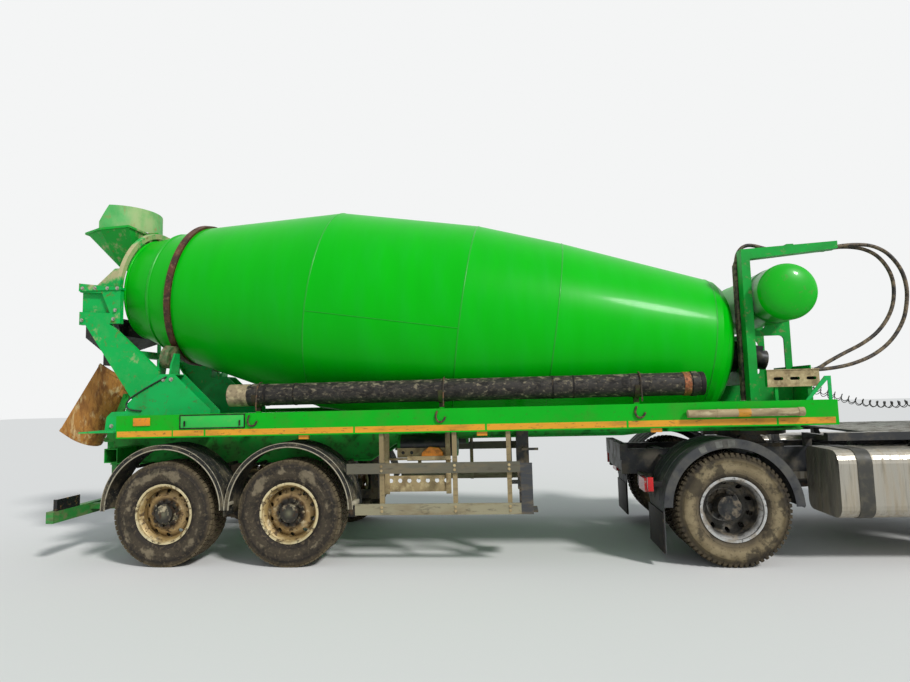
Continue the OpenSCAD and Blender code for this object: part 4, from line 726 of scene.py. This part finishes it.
arches = (AXLES["rear"], AXLES["front"])
guard_z, drive_z = 0.562, 0.542
part("mudguard_lips",
     mirrored([arch_lip(x, guard_z, radius, -1.245, 0, 180, thick)
               for x in arches for radius, thick in ((0.612, 0.006), (0.653, 0.0035))]),
     lip_plastic, "trailer")
part("mudguard_ribs", mirrored([arch_lip(x, guard_z, 0.655, -y, 4, 176, 0.005)
                                for x in arches for y in (0.88, 0.96, 1.06, 1.15, 1.235)]),
     guard_plastic, "trailer")
part("tractor_guard_faces",
     mirrored([arch_band(AXLES["drive"], drive_z, 0.550, 0.631, (-1.2345, -1.2303), 1, 179, 60)]
              + [arch_lip(AXLES["drive"], drive_z, 0.630, -y, 4, 176, 0.005)
                 for y in (0.70, 0.86, 1.05, 1.215)]), tractor_guard, "tractor")
pad_grey = worn("rubbed_grey_pad", "#6c6c66", 0.6, [("#4a4945", 0.4, 14, 0.2, 0.6)], grit=300, bump=0.15,
                gloss=0.2)
part("guard_pads", mirrored([arch_band(AXLES["drive"], drive_z, 0.562, 0.622, (-1.2358, -1.2345), a, a + 6)
                             for a in (86, 97, 112)]), pad_grey, "tractor")
part("mudguard_brackets", mirrored([cuboid((x - 0.035, x + 0.035), (-1.243, -1.10), z)
                                    for x, z in ((1.962, (0.60, 0.64)), (0.655, (0.60, 0.63)))]),
     lip_plastic, "trailer", edge=0.004)

# Drum
# Rolled and welded steel plate with a glossy green top coat. The plates meet in welded rings, and
# water has left faint runs down the sides.

# Clean saturated green with a broad highlight, faint runs round it and a slight wave in the plate
drum_paint = worn("green_drum_gloss", "#00b60b", 0.34,
                  [("#04a318", 0.3, 0.7, 0.5, 0.35), ("#1fb33c", 0.2, 2.2, 0.4, 0.2)], shade=0.03, grit=90,
                  bump=0.03, dent=0.05, coat=0.05, gloss=0.09, stretch=(3, 0.7, 0.7), matt_dirt=0.42)
wear("drum_shell", drum_paint)
lean = math.radians(8.58)
drum_axis = Vector((math.cos(lean), 0, -math.sin(lean)))
mouth = Vector((-0.873, 0, 3.051))
drum_stations = [0, 0.684, 2.378, 3.981, 4.947, 6.573]
drum_radii = [0.600, 0.835, 1.178, 1.178, 1.073, 0.830]


def drum_ring(s, proud, wide):
    """A low rounded bead round the drum, so far from its mouth"""
    r = float(np.interp(s, drum_stations, drum_radii))
    return lathe([(r - 0.003, s - wide), (r + proud * 0.7, s - wide * 0.5), (r + proud, s),
                  (r + proud * 0.7, s + wide * 0.5), (r - 0.003, s + wide)], mouth, drum_axis, 128,
                 closed=True)


seam_turn = math.radians(-7.2)
seam_side = Vector((math.sin(lean) * math.sin(seam_turn), -math.cos(seam_turn),
                    math.cos(lean) * math.sin(seam_turn)))
seam = tube([mouth + drum_axis * s + seam_side * 1.177 for s in (2.385, 3.18, 3.974)], 0.005, 8)
# The weld beads are a darker green than the drum: painted shade that stands in for the shaded undersides of
# the beads
part("drum_welds", joined([drum_ring(s, 0.004, 0.010) for s in drum_stations[2:]]
                          + [drum_ring(0.36, 0.016, 0.022), seam]),
     worn("green_weld_bead_painted_shade", "#02a411", 0.3, [("#0a8c1a", 0.3, 14, 0.3, 0.4)], bump=0.1, gloss=0.4), "drum",
     crease=60)
# Rolled steel, polished brown by the rollers
ring_rust = worn("rolled_steel_rust", "#5b3320", 0.5,
                 [("#2c1a12", 0.45, 10, 0.2, 0.8), ("#8a6a4a", 0.16, 30, 0.12, 0.6)], metallic=0.3,
                 grit=300, bump=0.3)
wear("roller_track", ring_rust)
wear("drum_blades",
     worn("worn_mixing_blade", "#5d564b", 0.7, [("#a09880", 0.6, 7, 0.2, 0.8)], metallic=0.3, bump=0.5))
# Cast iron rollers, half green, half rust
roller_iron = worn("cast_roller", "#4f6a42", 0.6,
                   [("#8a7b5c", 0.4, 10, 0.16, 0.8), ("#4f3622", 0.3, 24, 0.12, 0.8)], metallic=0.2,
                   bump=0.35)
wear("roller_left", roller_iron)
wear("roller_right", roller_iron)

# Hopper, flap and funnel
# The hopper is folded plate, worn and crusted with cement where it is filled. A pale green sheet
# stands on its rim, and a black rubber funnel under the mouth drops the mix on to the chute.

# Green paint with cream and rust at the rim and the drum's side
wear("feed_hopper",
     worn("green_enamel_crusted", "#10a834", 0.45,
          [("#c3b48c", 0.03, 5, 0.16, 0.9), ("#7a5230", 0.05, 14, 0.12, 0.7),
           ("#0b8a2a", 0.25, 3, 0.3, 0.5)], where=rising(0, -5.42, -5.05, 0.2), bump=0.25, gloss=0.2))
# A sheet faded to pale green, streaked cream and tan
wear("hopper_flap", worn("faded_green_sheet", "#4fae58", 0.5,
                         [("#b9bd8a", 0.38, 2.6, 0.34, 0.7), ("#2f9a45", 0.26, 5, 0.26, 0.5),
                          ("#a5754a", 0.07, 12, 0.16, 0.6)], bump=0.2, stretch=(1, 1, 0.7)))
wear("drop_funnel",
     worn("black_conveyor_rubber", "#191a1c", 0.5,
          [("#4a443a", 0.3, 7, 0.2, 0.7), ("#8a7d66", 0.1, 30, 0.1, 0.7)], grit=300, bump=0.35))

# Chute
# A half-round steel trough on the post at the tail, coated tan and brown by years of cement.

# Rust brown with dark and cream streaks along the trough
wear("chute", worn("cement_crusted_steel", "#b27a34", 0.75,
                   [("#5f3413", 0.3, 9, 0.18, 0.8), ("#d8bf8a", 0.2, 12, 0.14, 0.75),
                    ("#8a5a26", 0.35, 28, 0.14, 0.6)], where=rising(2, 1.95, 2.15, 0.2), shade=0.14,
                   grit=120, bump=0.8, stretch=(1.3, 1.3, 0.4)))

# Water tank and drive
# The tank is rolled steel with pressed ends, in the drum's gloss green, held by two straps. The
# gearbox and its motor are cast iron in black.

# The drum's green, a little yellower
tank_paint = worn("green_tank_gloss", "#00b40e", 0.3,
                  [("#0a9a20", 0.3, 1.6, 0.35, 0.4), ("#5f7a3c", 0.05, 18, 0.12, 0.4)], bump=0.03,
                  coat=0.16, gloss=0.2)
tank_radius = 0.285
tank_x, tank_z = 6.330, 2.595
dome = [(tank_radius * math.sin(a), 0.82 + 0.13 * math.cos(a)) for a in np.radians(range(0, 91, 6))]
dome[0] = (0.0, 0.95)
half = [(tank_radius + 0.0012, 0.816), (tank_radius + 0.0012, 0.806), (tank_radius, 0.804)]
part("water_tank_shell",
     lathe([(r, -s) for r, s in dome + half] + half[::-1] + dome[::-1], (tank_x, -0.05, tank_z),
           (0, 1, 0), 96), tank_paint, "trailer", stands_for=("water_tank",), crease=50)
wear("drum_drive",
     worn("black_cast_iron", "#1f1f21", 0.42, [("#574f3f", 0.3, 12, 0.2, 0.7)], metallic=0.3, bump=0.3))
strap_green = worn("green_strap", "#0b8f2c", 0.45, [("#3a5a2c", 0.3, 14, 0.2, 0.6)], bump=0.12, gloss=0.25)
strap_edge = ((0.0002, 0), (0.0035, 0.003), (0.0035, 0.047), (0.0002, 0.05))
part("tank_straps",
     joined([lathe([(tank_radius + d, s + w) for d, w in strap_edge], (tank_x, 0.0, tank_z), (0, 1, 0),
                   64, closed=True) for s in (-0.62, 0.47)]), strap_green, "trailer")

# Spare pipe
# A length of ribbed black rubber pipe on the right rail; its surface is rubbed tan in long patches,
# and worm-drive bands hold its sleeves.

# Black rubber rubbed and splashed in long pale patches
pipe_rubber = worn("rubbed_black_rubber", "#2b2824", 0.55,
                   [("#8a8069", 0.12, 24, 0.1, 0.8), ("#141210", 0.36, 16, 0.16, 0.8),
                    ("#575043", 0.26, 46, 0.12, 0.5)], where=rising(2, 1.70, 1.82, 0.07), shade=0.2,
                   grit=200, bump=0.45, stretch=(0.6, 1, 1), gloss=0.3)
wear("stowed_pipe", pipe_rubber)
# The tail sleeve is coated with grey-tan cement
sleeve_tan = worn("cement_coated_rubber", "#8f8063", 0.8,
                  [("#4f4232", 0.35, 9, 0.16, 0.8), ("#c0b089", 0.25, 14, 0.16, 0.7)], bump=0.5)
black_band = worn("black_rubber_band", "#1b1918", 0.6, [("#5a4d3a", 0.2, 20, 0.16, 0.5)], bump=0.3,
                  gloss=0.2)
rust_band = worn("rusty_clamp_steel", "#8f5530", 0.5,
                 [("#4a2a18", 0.4, 24, 0.12, 0.8), ("#c09060", 0.2, 30, 0.12, 0.6)], metallic=0.4, bump=0.3)


def pipe_ring(x0, x1, proud):
    """A band round the spare pipe"""
    r = pipe_radius + proud
    return lathe([(0.108, x0), (r, x0 + 0.003), (r, x1 - 0.003), (0.108, x1)], (0, pipe_y, pipe_z),
                 (1, 0, 0), 48, closed=True)


part("pipe_tail_sleeve", pipe_ring(0.651, 0.86, 0.003), sleeve_tan, "trailer")
part("pipe_bands", joined([pipe_ring(x, x + w, 0.004) for x, w in
                           ((1.03, 0.035), (1.34, 0.02), (3.94, 0.02), (4.14, 0.02), (5.345, 0.044))]),
     black_band, "trailer")
part("pipe_clamp", pipe_ring(5.19, 5.26, 0.0045), rust_band, "trailer")

# Guards and lamps
# Aluminium guard bars on tan steel posts, and moulded lamps with acrylic lenses.


def guard_colour(tree, place):
    """Pale lower bar, darker upper bar, tan posts, a dark post at the front end and a green rear bumper"""
    along = split_axis(tree, place, 0)
    bands = stepped(tree, split_axis(tree, place, 2),
                    [(0.0, "#9a8a67"), (0.500, "#958e73"), (0.612, "#96845e"), (0.898, "#5f5c4d"),
                     (1.003, "#8d7c58")], 1.3, "CONSTANT")
    sides = laid_over(tree, maths(tree, "GREATER_THAN", along, 3.605 - MIDDLE), bands, linear("#3d3f42"))
    return laid_over(tree, maths(tree, "LESS_THAN", along, -0.9 - MIDDLE), sides, linear("#2f8a3a"))


# Dull metal, smeared with tan dust along the bars
wear("underrun_guards", worn("dull_guard_aluminium", guard_colour, 0.5,
                             [("#7b6c4f", 0.3, 7, 0.2, 0.6), ("#4d4638", 0.14, 22, 0.14, 0.6)],
                             metallic=0.2, shade=0.1, bump=0.2, stretch=(0.4, 1, 1.5)))


def lens_plastic(name, colour, dusty):
    """Ribbed clear plastic over a colour, with dust in the ribs"""
    material = fresh_material(name)
    tree = material.node_tree
    place = put(tree, "ShaderNodeTexCoord").outputs["Object"]
    ribs = put(tree, "ShaderNodeTexWave", {"Vector": place, "Scale": 60.0}, bands_direction="Z")
    dust = ranged(tree, noise(tree, place, 30.0, 5.0), 0.55, 0.75)
    ground = colour(tree, place) if callable(colour) else linear(colour)
    bump = put(tree, "ShaderNodeBump", {"Height": ribs.outputs[1], "Strength": 0.3, "Distance": 0.002})
    return shaded(material, {"Base Color": laid_over(tree, dust, ground, linear(dusty)), "Roughness": 0.15,
                             "Normal": bump.outputs[0], "Coat Weight": 0.2, "Specular IOR Level": 0.3})


def behind(edge, rear, front):
    """One colour behind a place along the lorry and another ahead of it"""
    def colour(tree, place):
        ahead = maths(tree, "GREATER_THAN", split_axis(tree, place, 0), edge - MIDDLE)
        return laid_over(tree, ahead, linear(rear), linear(front))
    return colour


amber = lens_plastic("amber_acrylic", "#e08a18", "#9a7038")
red = lens_plastic("red_acrylic", "#c01a1e", "#7d2c22")
clear = lens_plastic("clear_polycarbonate", "#dfe3e4", "#a8a79d")
# Amber side markers, and black holders for the lenses at the tail
wear("trailer_lamps",
     lens_plastic("amber_markers_and_holders", behind(-1.0, "#1c1c1d", "#dd8c1c"), "#7d6238"))
# Red lamps at the tractor's tail and clear ones at its front
wear("tractor_lamps", lens_plastic("tractor_lamp_lenses", behind(8.0, "#a8191c", "#dfe3e4"), "#95897a"))

# Fasteners and small fittings of the trailer
# Zinc bolts hold the pedestals and brackets. A tan perforated beam with an orange wheel chock
# in its holder hangs behind the guard, and a box panel closes the rail over the axles.


def dotted(name, points):
    """An object of loose points, where a layout puts its copies"""
    cloud = bpy.data.meshes.new(name)
    cloud.from_pydata([tuple(at(*p)) for p in points], [], [])
    return placed(name, cloud)


def studs(name, places, aim, width, height, material, body):
    """Hexagon heads with a washer each, standing on the places and pointing along aim"""
    tree, given = layout(name, {"Width over corners": width, "Head height": height})
    head = put(tree, "GeometryNodeMeshCylinder",
               {"Vertices": 6, "Radius": maths(tree, "MULTIPLY", given[1], 0.5), "Depth": given[2]})
    lift = put(tree, "ShaderNodeCombineXYZ", {2: maths(tree, "MULTIPLY", given[2], 0.62)})
    raised = put(tree, "GeometryNodeTransform",
                 {"Geometry": head.outputs[0], "Translation": lift.outputs[0]})
    washer = put(tree, "GeometryNodeMeshCylinder",
                 {"Vertices": 12, "Radius": maths(tree, "MULTIPLY", given[1], 0.72),
                  "Depth": maths(tree, "MULTIPLY", given[2], 0.3)})
    both = put(tree, "GeometryNodeJoinGeometry")
    tree.links.new(washer.outputs[0], both.inputs[0])
    tree.links.new(raised.outputs[0], both.inputs[0])
    turned = put(tree, "FunctionNodeAlignEulerToVector", {"Vector": tuple(aim)}, axis="Z")
    copies = put(tree, "GeometryNodeInstanceOnPoints", {"Points": given[0], "Instance": both.outputs[0],
                                                        "Rotation": turned.outputs[0]})
    made = laid_out(dotted(name, places), tree, copies, material)
    made.data.set_sharp_from_angle(angle=math.radians(30))
    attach(made, body)


# Zinc gone tan with road dust
tan_steel = worn("dusty_galvanised_steel", "#a8946c", 0.65,
                 [("#6f5c3e", 0.3, 9, 0.16, 0.7), ("#d6c596", 0.25, 16, 0.2, 0.6)], metallic=0.15,
                 bump=0.25)
for side, s in (("right", -1), ("left", 1)):
    studs("pedestal_bolts_" + side,
          [(x, s * 0.7525, z)
           for x, z in ((-0.90, 1.40), (-0.60, 1.40), (-0.30, 1.40), (0.0, 1.40), (0.18, 1.40),
                        (-0.30, 1.90), (-0.21, 1.90))], (0, s, 0), 0.032, 0.014, zinc, "trailer")
    studs("head_bolts_" + side,
          [(x, s * 0.7665, z)
           for x, z in ((-1.28, 2.965), (-1.13, 2.962), (-0.98, 2.955), (-0.86, 2.95), (-0.90, 2.60),
                        (-1.28, 2.60), (-0.88, 2.70))], (0, s, 0), 0.030, 0.012, zinc, "trailer")
    studs("guard_bolts_" + side,
          [(x, s * (RAIL + 0.0005), z) for x in (2.255, 2.975, 3.5) for z in (0.93, 0.97, 0.54, 0.58)],
          (0, s, 0), 0.020, 0.008, tan_steel, "trailer")
    studs("bumper_bolts_" + side, [(-1.3205, s * y, 0.48) for y in (0.58, 0.53, 1.10)], (-1, 0, 0), 0.026,
          0.01, zinc, "trailer")


def slotted_plate(x, z, y, slots, half, radius, sides=20):
    """A flat bar with a row of slots through it. A slot is round where half equals radius"""
    curve = bpy.data.curves.new("outline", "CURVE")
    curve.dimensions = "2D"
    curve.fill_mode = "BOTH"
    curve.extrude = abs(y[1] - y[0]) / 2
    loops = [[(x[0], z[0]), (x[1], z[0]), (x[1], z[1]), (x[0], z[1])]]
    for u, v in slots:
        turns_back = -2 * math.pi * (np.arange(sides) + 0.5) / sides
        loops.append([(u + math.copysign(half - radius, math.cos(a)) + radius * math.cos(a),
                       v + radius * math.sin(a)) for a in turns_back])
    for loop in loops:
        spline = curve.splines.new("POLY")
        spline.points.add(len(loop) - 1)
        for point, (u, v) in zip(spline.points, loop):
            point.co = (u, v, 0, 1)
        spline.use_cyclic_u = True
    drawn = placed("outline", curve)
    bpy.context.view_layer.update()
    flat = bpy.data.meshes.new_from_object(drawn.evaluated_get(bpy.context.evaluated_depsgraph_get()))
    bpy.data.objects.remove(drawn)
    corners = [(v.co.x, (y[0] + y[1]) / 2 + v.co.z, v.co.y) for v in flat.vertices]
    return np.array(corners), [tuple(p.vertices) for p in flat.polygons]


part("perforated_beam",
     slotted_plate((2.22, 2.91), (0.68, 0.84), (-0.955, -0.945),
                   [(2.29 + 0.095 * k, 0.79) for k in range(7)], 0.022, 0.022), tan_steel, "trailer")
part("chock_plate", slotted_plate((2.36, 2.91), (1.022, 1.118), (-0.955, -0.949),
                                  [(2.42, 1.072), (2.51, 1.072)], 0.018, 0.018), tan_steel, "trailer")
part("beam_posts",
     joined([cuboid((x, x + 0.05), (-0.975, -0.955), (0.66, 1.29)) for x in (2.23, 2.86)]
            + [cuboid((2.22, 2.91), (-0.985, -0.955), (1.00, 1.02))]), tan_steel, "trailer", edge=0.002)
chock = [(2.62, 1.021), (2.84, 1.021), (2.84, 1.075), (2.80, 1.125), (2.70, 1.135), (2.63, 1.08)]
orange = worn("orange_moulded_plastic", "#f09022", 0.45, [("#8a5a2a", 0.25, 16, 0.2, 0.6)], grit=300,
              bump=0.15)
part("wheel_chock", prism(chock, -1.045, -0.987), orange, "trailer", edge=0.006)
part("chock_holder", joined([cuboid((2.48, 2.92), (-1.055, -1.05), (1.00, 1.045)),
                             cuboid((2.48, 2.92), (-1.055, -0.985), (1.00, 1.005))]), tan_steel, "trailer")
part("coupling_face",
     slotted_plate((5.992, 6.468), (1.652, 1.808), (-1.0835, -1.0803),
                   [(6.095, 1.725), (6.245, 1.725), (6.395, 1.725)], 0.045, 0.015), tan_steel, "trailer")
part("coupling_edges", joined([cuboid((5.987, 6.473), (-1.090, -1.0803), z)
                               for z in ((1.647, 1.655), (1.805, 1.813))]), tan_steel, "trailer")
part("coupling_strip", cuboid((6.03, 6.46), (-1.0295, -1.024), (1.695, 1.755)), black_band, "trailer")
# Small braces of flat bar stand on the rails' front ends
part("rail_braces", mirrored([prism(bar, -1.215, -1.205)
                              for bar in ([(6.27, 1.5205), (6.305, 1.5205), (6.475, 1.705), (6.45, 1.74)],
                                          [(6.475, 1.5205), (6.505, 1.5205), (6.505, 1.74), (6.4505, 1.74),
                                           (6.4755, 1.705)])]), plate_paint, "trailer")
panel_paint = worn("paler_green_enamel", "#2eb84a", 0.4, [("#8a9a5a", 0.2, 6, 0.3, 0.4)], bump=0.1,
                   gloss=0.25)
panel_x, panel_z, rim = (0.196, 0.863), (1.385, 1.507), 0.010
panel = [(panel_x[0], panel_z[0]), (panel_x[1], panel_z[0]), (panel_x[1], panel_z[1]),
         (panel_x[0], panel_z[1])]
for side, s in (("right", -1), ("left", 1)):
    part("rail_panel_" + side, prism(panel, s * (RAIL + 0.0005), s * (RAIL + 0.007)), panel_paint,
         "trailer", edge=0.002)
    frame_y = (s * (RAIL + 0.0003), s * (RAIL + 0.010))
    part("rail_panel_frame_" + side,
         joined([cuboid((panel_x[0] - rim, panel_x[1] + rim), frame_y, z)
                 for z in ((panel_z[0] - rim, panel_z[0]), (panel_z[1], panel_z[1] + rim))]
                + [cuboid(x, frame_y, panel_z)
                   for x in ((panel_x[0] - rim, panel_x[0]), (panel_x[1], panel_x[1] + rim))]
                + [cuboid((x, x + 0.012), (s * (RAIL + 0.0072), s * (RAIL + 0.020)), (1.40, 1.455))
                   for x in (0.235, 0.815)]), black_band, "trailer")
    part("rail_lamp_" + side, cuboid((-0.31, -0.13), (s * (RAIL + 0.0005), s * (RAIL + 0.013)),
                                     (1.415, 1.495)), amber, "trailer", edge=0.004)

# Tail of the trailer
# The lamps sit in rubber holders on the rear bumper: red, amber and white lenses side by side.

for tint, material, y0, y1 in (("red", red, 0.775, 0.875), ("amber", amber, 0.885, 0.985),
                               ("clear", clear, 0.995, 1.085)):
    part("tail_lenses_" + tint, mirrored([cuboid((-1.292, -1.2802), (-y0, -y1), (0.555, 0.645))]), material,
         "trailer", edge=0.004)

# Tractor
# A ladder frame of pressed channels in dark grey, with brushed aluminium fuel tanks, a greasy cast
# fifth wheel and the engine as one plain cast block.

# Dark enamel under a grey-tan film of road dust
chassis = worn("dark_chassis_enamel", "#26282b", 0.45, [("#6a6152", 0.34, 6, 0.24, 0.6)], grit=240,
               bump=0.15)
wear("tractor_frame", chassis)
wear("fifth_wheel",
     worn("greased_cast_steel", "#262420", 0.35, [("#5e4f35", 0.35, 12, 0.2, 0.6)], metallic=0.5, bump=0.3))
wear("engine_block",
     worn("oily_cast_iron", "#434548", 0.5, [("#2a2622", 0.4, 6, 0.2, 0.7)], metallic=0.4, bump=0.3))
# Brushed aluminium under tan dust that rain has drawn down in streaks
wear("fuel_tanks",
     worn("brushed_tank_aluminium", "#b3aea2", 0.3,
          [("#8b7a5c", 0.3, 16, 0.3, 0.6), ("#5a5446", 0.14, 30, 0.2, 0.5)],
          where=rising(2, 0.95, 0.45, 0.06), metallic=0.85, grit=300, bump=0.12, stretch=(1, 1, 0.08)))
strap_steel = worn("dark_painted_strap", "#3b3a35", 0.5, [("#6a6350", 0.25, 12, 0.3, 0.5)], metallic=0.2,
                   bump=0.2)


def tank_ring(x, grow):
    """The fuel tank's section at a station, grown by a little"""
    ring = []
    for cy, cz, r, a0 in ((-1.12, 0.55, 0.12, 180), (-0.71, 0.52, 0.09, 270), (-0.71, 0.96, 0.09, 0),
                          (-1.12, 0.93, 0.12, 90)):
        ring += [(x, cy + (r + grow) * math.cos(math.radians(a0 + 15 * k)),
                  cz + (r + grow) * math.sin(math.radians(a0 + 15 * k))) for k in range(7)]
    return ring


def tank_band(x0, x1):
    """A flat band round the fuel tank"""
    rings = [tank_ring(x0, 0.0005), tank_ring(x0, 0.006), tank_ring(x1, 0.006), tank_ring(x1, 0.0005)]
    n = len(rings[0])
    return sum(rings, []), [(r * n + i, r * n + (i + 1) % n, (r + 1) % 4 * n + (i + 1) % n,
                             (r + 1) % 4 * n + i) for r in range(4) for i in range(n)]


part("tank_bands", mirrored([tank_band(x, x + 0.13) for x in (6.66, 7.82)]), strap_steel, "tractor")
part("tank_caps", joined([lathe([(0.0, 0.0), (0.05, 0.0), (0.05, 0.012), (0.042, 0.014), (0.042, 0.03),
                                 (0.034, 0.034), (0.0, 0.034)], (7.35, s * 0.93, 1.0505), (0, 0, 1), 24)
                          for s in (-1, 1)]), black_band, "tractor")


def chequer(name, x, y, z, material, body):
    """Raised lozenges in two directions over a plate, laid out by a node tree"""
    tree, given = layout(name,
                         {"Length of a lozenge": 0.034, "Width of a lozenge": 0.009, "Height": 0.0025})
    size = put(tree, "ShaderNodeCombineXYZ", {0: given[1], 1: given[2], 2: given[3]})
    bar = put(tree, "GeometryNodeMeshCube", {"Size": size.outputs[0]})
    odd = maths(tree, "MODULO", put(tree, "GeometryNodeInputIndex").outputs[0], 2.0)
    turn = put(tree, "ShaderNodeCombineXYZ",
               {2: maths(tree, "MULTIPLY_ADD", odd, math.pi / 2, math.pi / 4)})
    copies = put(tree, "GeometryNodeInstanceOnPoints", {"Points": given[0], "Instance": bar.outputs[0],
                                                        "Rotation": turn.outputs[0]})
    step = 0.045
    nx = int((x[1] - x[0]) / step) // 2 * 2 + 1
    ny = int((y[1] - y[0]) / step)
    points = [(x[0] + (i + 0.5) * (x[1] - x[0]) / nx, y[0] + (j + 0.5) * (y[1] - y[0]) / ny, z)
              for j in range(ny) for i in range(nx)]
    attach(laid_out(dotted(name, points), tree, copies, material), body)


tread_plate = worn("aluminium_tread_plate", "#a7a49b", 0.36, [("#5d5547", 0.4, 9, 0.2, 0.7)], metallic=0.8,
                   bump=0.2)
deck = (1.1852, 1.1872)
part("catwalk_sheets",
     joined([cuboid((7.01, 8.47), (-0.86, 0.86), deck)]
            + [cuboid((6.61, 6.99), y, deck) for y in ((-0.87, -0.81), (0.81, 0.87))]),
     tread_plate, "tractor")
chequer("catwalk_lozenges", (7.03, 8.45), (-0.85, 0.85), deck[1] + 0.0006, tread_plate, "tractor")

# Reflectors on short brackets and rubber flaps hang behind the driven wheels
part("tail_reflectors", mirrored([cuboid((4.795, 4.845), (-1.222, -1.188), (0.70, 0.83))]), red, "tractor",
     edge=0.003)
part("tail_brackets", mirrored([cuboid((4.8455, 4.9295), (-1.218, -1.192), (0.74, 0.79))]), black_band,
     "tractor", edge=0.002)
part("mud_flaps", mirrored([cuboid((4.917, 4.9295), (-1.20, -0.62), (0.125, 0.50))]), black_band, "tractor",
     edge=0.002)

# Cab
# White gloss enamel over pressed steel, laminated glass, and black moulded trim: handles, wipers,
# door strips and lamp surrounds. The mirrors are silvered glass, and the cabin is grey plastic.


def within(tree, place, spans):
    """1 where a place lies in a span along each axis, and 0 elsewhere. Spans are in the drawing's frame"""
    inside = 1.0
    for axis, span in enumerate(spans):
        if span:
            shift = 0.0 if axis else MIDDLE
            near = maths(tree, "COMPARE", split_axis(tree, place, axis), (span[0] + span[1]) / 2 - shift,
                         (span[1] - span[0]) / 2)
            inside = maths(tree, "MULTIPLY", near, inside)
    return inside


def cab_colour(tree, place):
    """White panels with black sills, mirrors, handles, visor and grille"""
    dark = 0.0
    for spans in ((None, None, (1.0, 1.20)), (None, (-1.5, -1.159), None), (None, (1.159, 1.5), None),
                  ((10.455, 10.7), None, (2.79, 2.89)), ((10.575, 10.7), (-0.80, 0.80), (1.30, 1.70))):
        dark = maths(tree, "MAXIMUM", within(tree, place, spans), dark)
    return laid_over(tree, dark, linear("#e4e6e4"), linear("#232426"))


# White gloss with a thin film of dust that is thickest low down
cab_paint = worn("white_cab_gloss", cab_colour, 0.22, [("#b9b3a4", 0.02, 3, 0.4, 0.5)],
                 where=rising(2, 1.75, 1.15, 0.16), shade=0.02, grit=400, bump=0.01, coat=0.4)
for node in ("cab_shell", "door_left", "door_right"):
    wear(node, cab_paint)
wear("front_bumper",
     worn("painted_bumper", "#c9cbc9", 0.3, [("#a39c8e", 0.2, 3, 0.4, 0.5)], bump=0.03, coat=0.4))
wear("cab_interior",
     worn("cabin_plastic", "#35373b", 0.6, [("#44474c", 0.4, 20, 0.2, 0.7)], grit=700, bump=0.2))


def pane(name, tint):
    """Glass with a faint film of dust"""
    material = fresh_material(name)
    tree = material.node_tree
    place = put(tree, "ShaderNodeTexCoord").outputs["Object"]
    rough = ranged(tree, noise(tree, place, 6.0, 4.0), 0.4, 0.8, 0.02, 0.12)
    return shaded(material,
                  {"Base Color": linear(tint), "Roughness": rough, "Transmission Weight": 0.85, "IOR": 1.5})


glass = pane("laminated_glass", "#a9bcc0")
for node in ("cab_glass", "door_glass_left", "door_glass_right"):
    wear(node, glass)
trim = worn("black_moulded_trim", "#1f2022", 0.45, [("#5b564c", 0.2, 10, 0.2, 0.6)], grit=600, bump=0.15)
mirror_glass = worn("silvered_glass", "#c9ced0", 0.05, [("#a9adad", 0.1, 8, 0.3, 0.5)], metallic=1.0,
                    bump=0.0)
part("mirror_glass", mirrored([cuboid((10.4365, 10.4395), (-1.408, -1.262), (1.975, 2.445))]), mirror_glass,
     "tractor", edge=0.001)
part("step_treads", mirrored([cuboid((9.94, 10.36), (-1.165, -1.02), (z, z + 0.004))
                              for z in (0.5602, 0.8302)]), tread_plate, "tractor")
part("headlamp_surrounds",
     mirrored([cuboid((10.6655, 10.670), y, z)
               for y, z in (((-1.035, -0.725), (0.715, 0.730)), ((-1.035, -0.725), (0.900, 0.915)),
                            ((-0.740, -0.725), (0.730, 0.900)), ((-1.035, -1.020), (0.730, 0.900)))]),
     trim, "tractor")
part("arch_lips", mirrored([arch_band(AXLES["steer"], AXLE, 0.672, 0.715, (-1.172, -1.1503), 64, 116)]),
     trim, "tractor", edge=0.003)
for side, s in (("right", -1), ("left", 1)):
    part("door_strip_" + side, cuboid((9.27, 10.29), (s * 1.1505, s * 1.161), (1.42, 1.465)), trim,
         side + "_door", edge=0.004)
part("wipers",
     joined([tube(smooth_path([(10.615, y, 1.84), (10.600, y + 0.25, 1.93), (10.585, y + 0.50, 2.03)], 6),
                  0.008, 6) for y in (-0.62, 0.12)]), trim, "tractor")
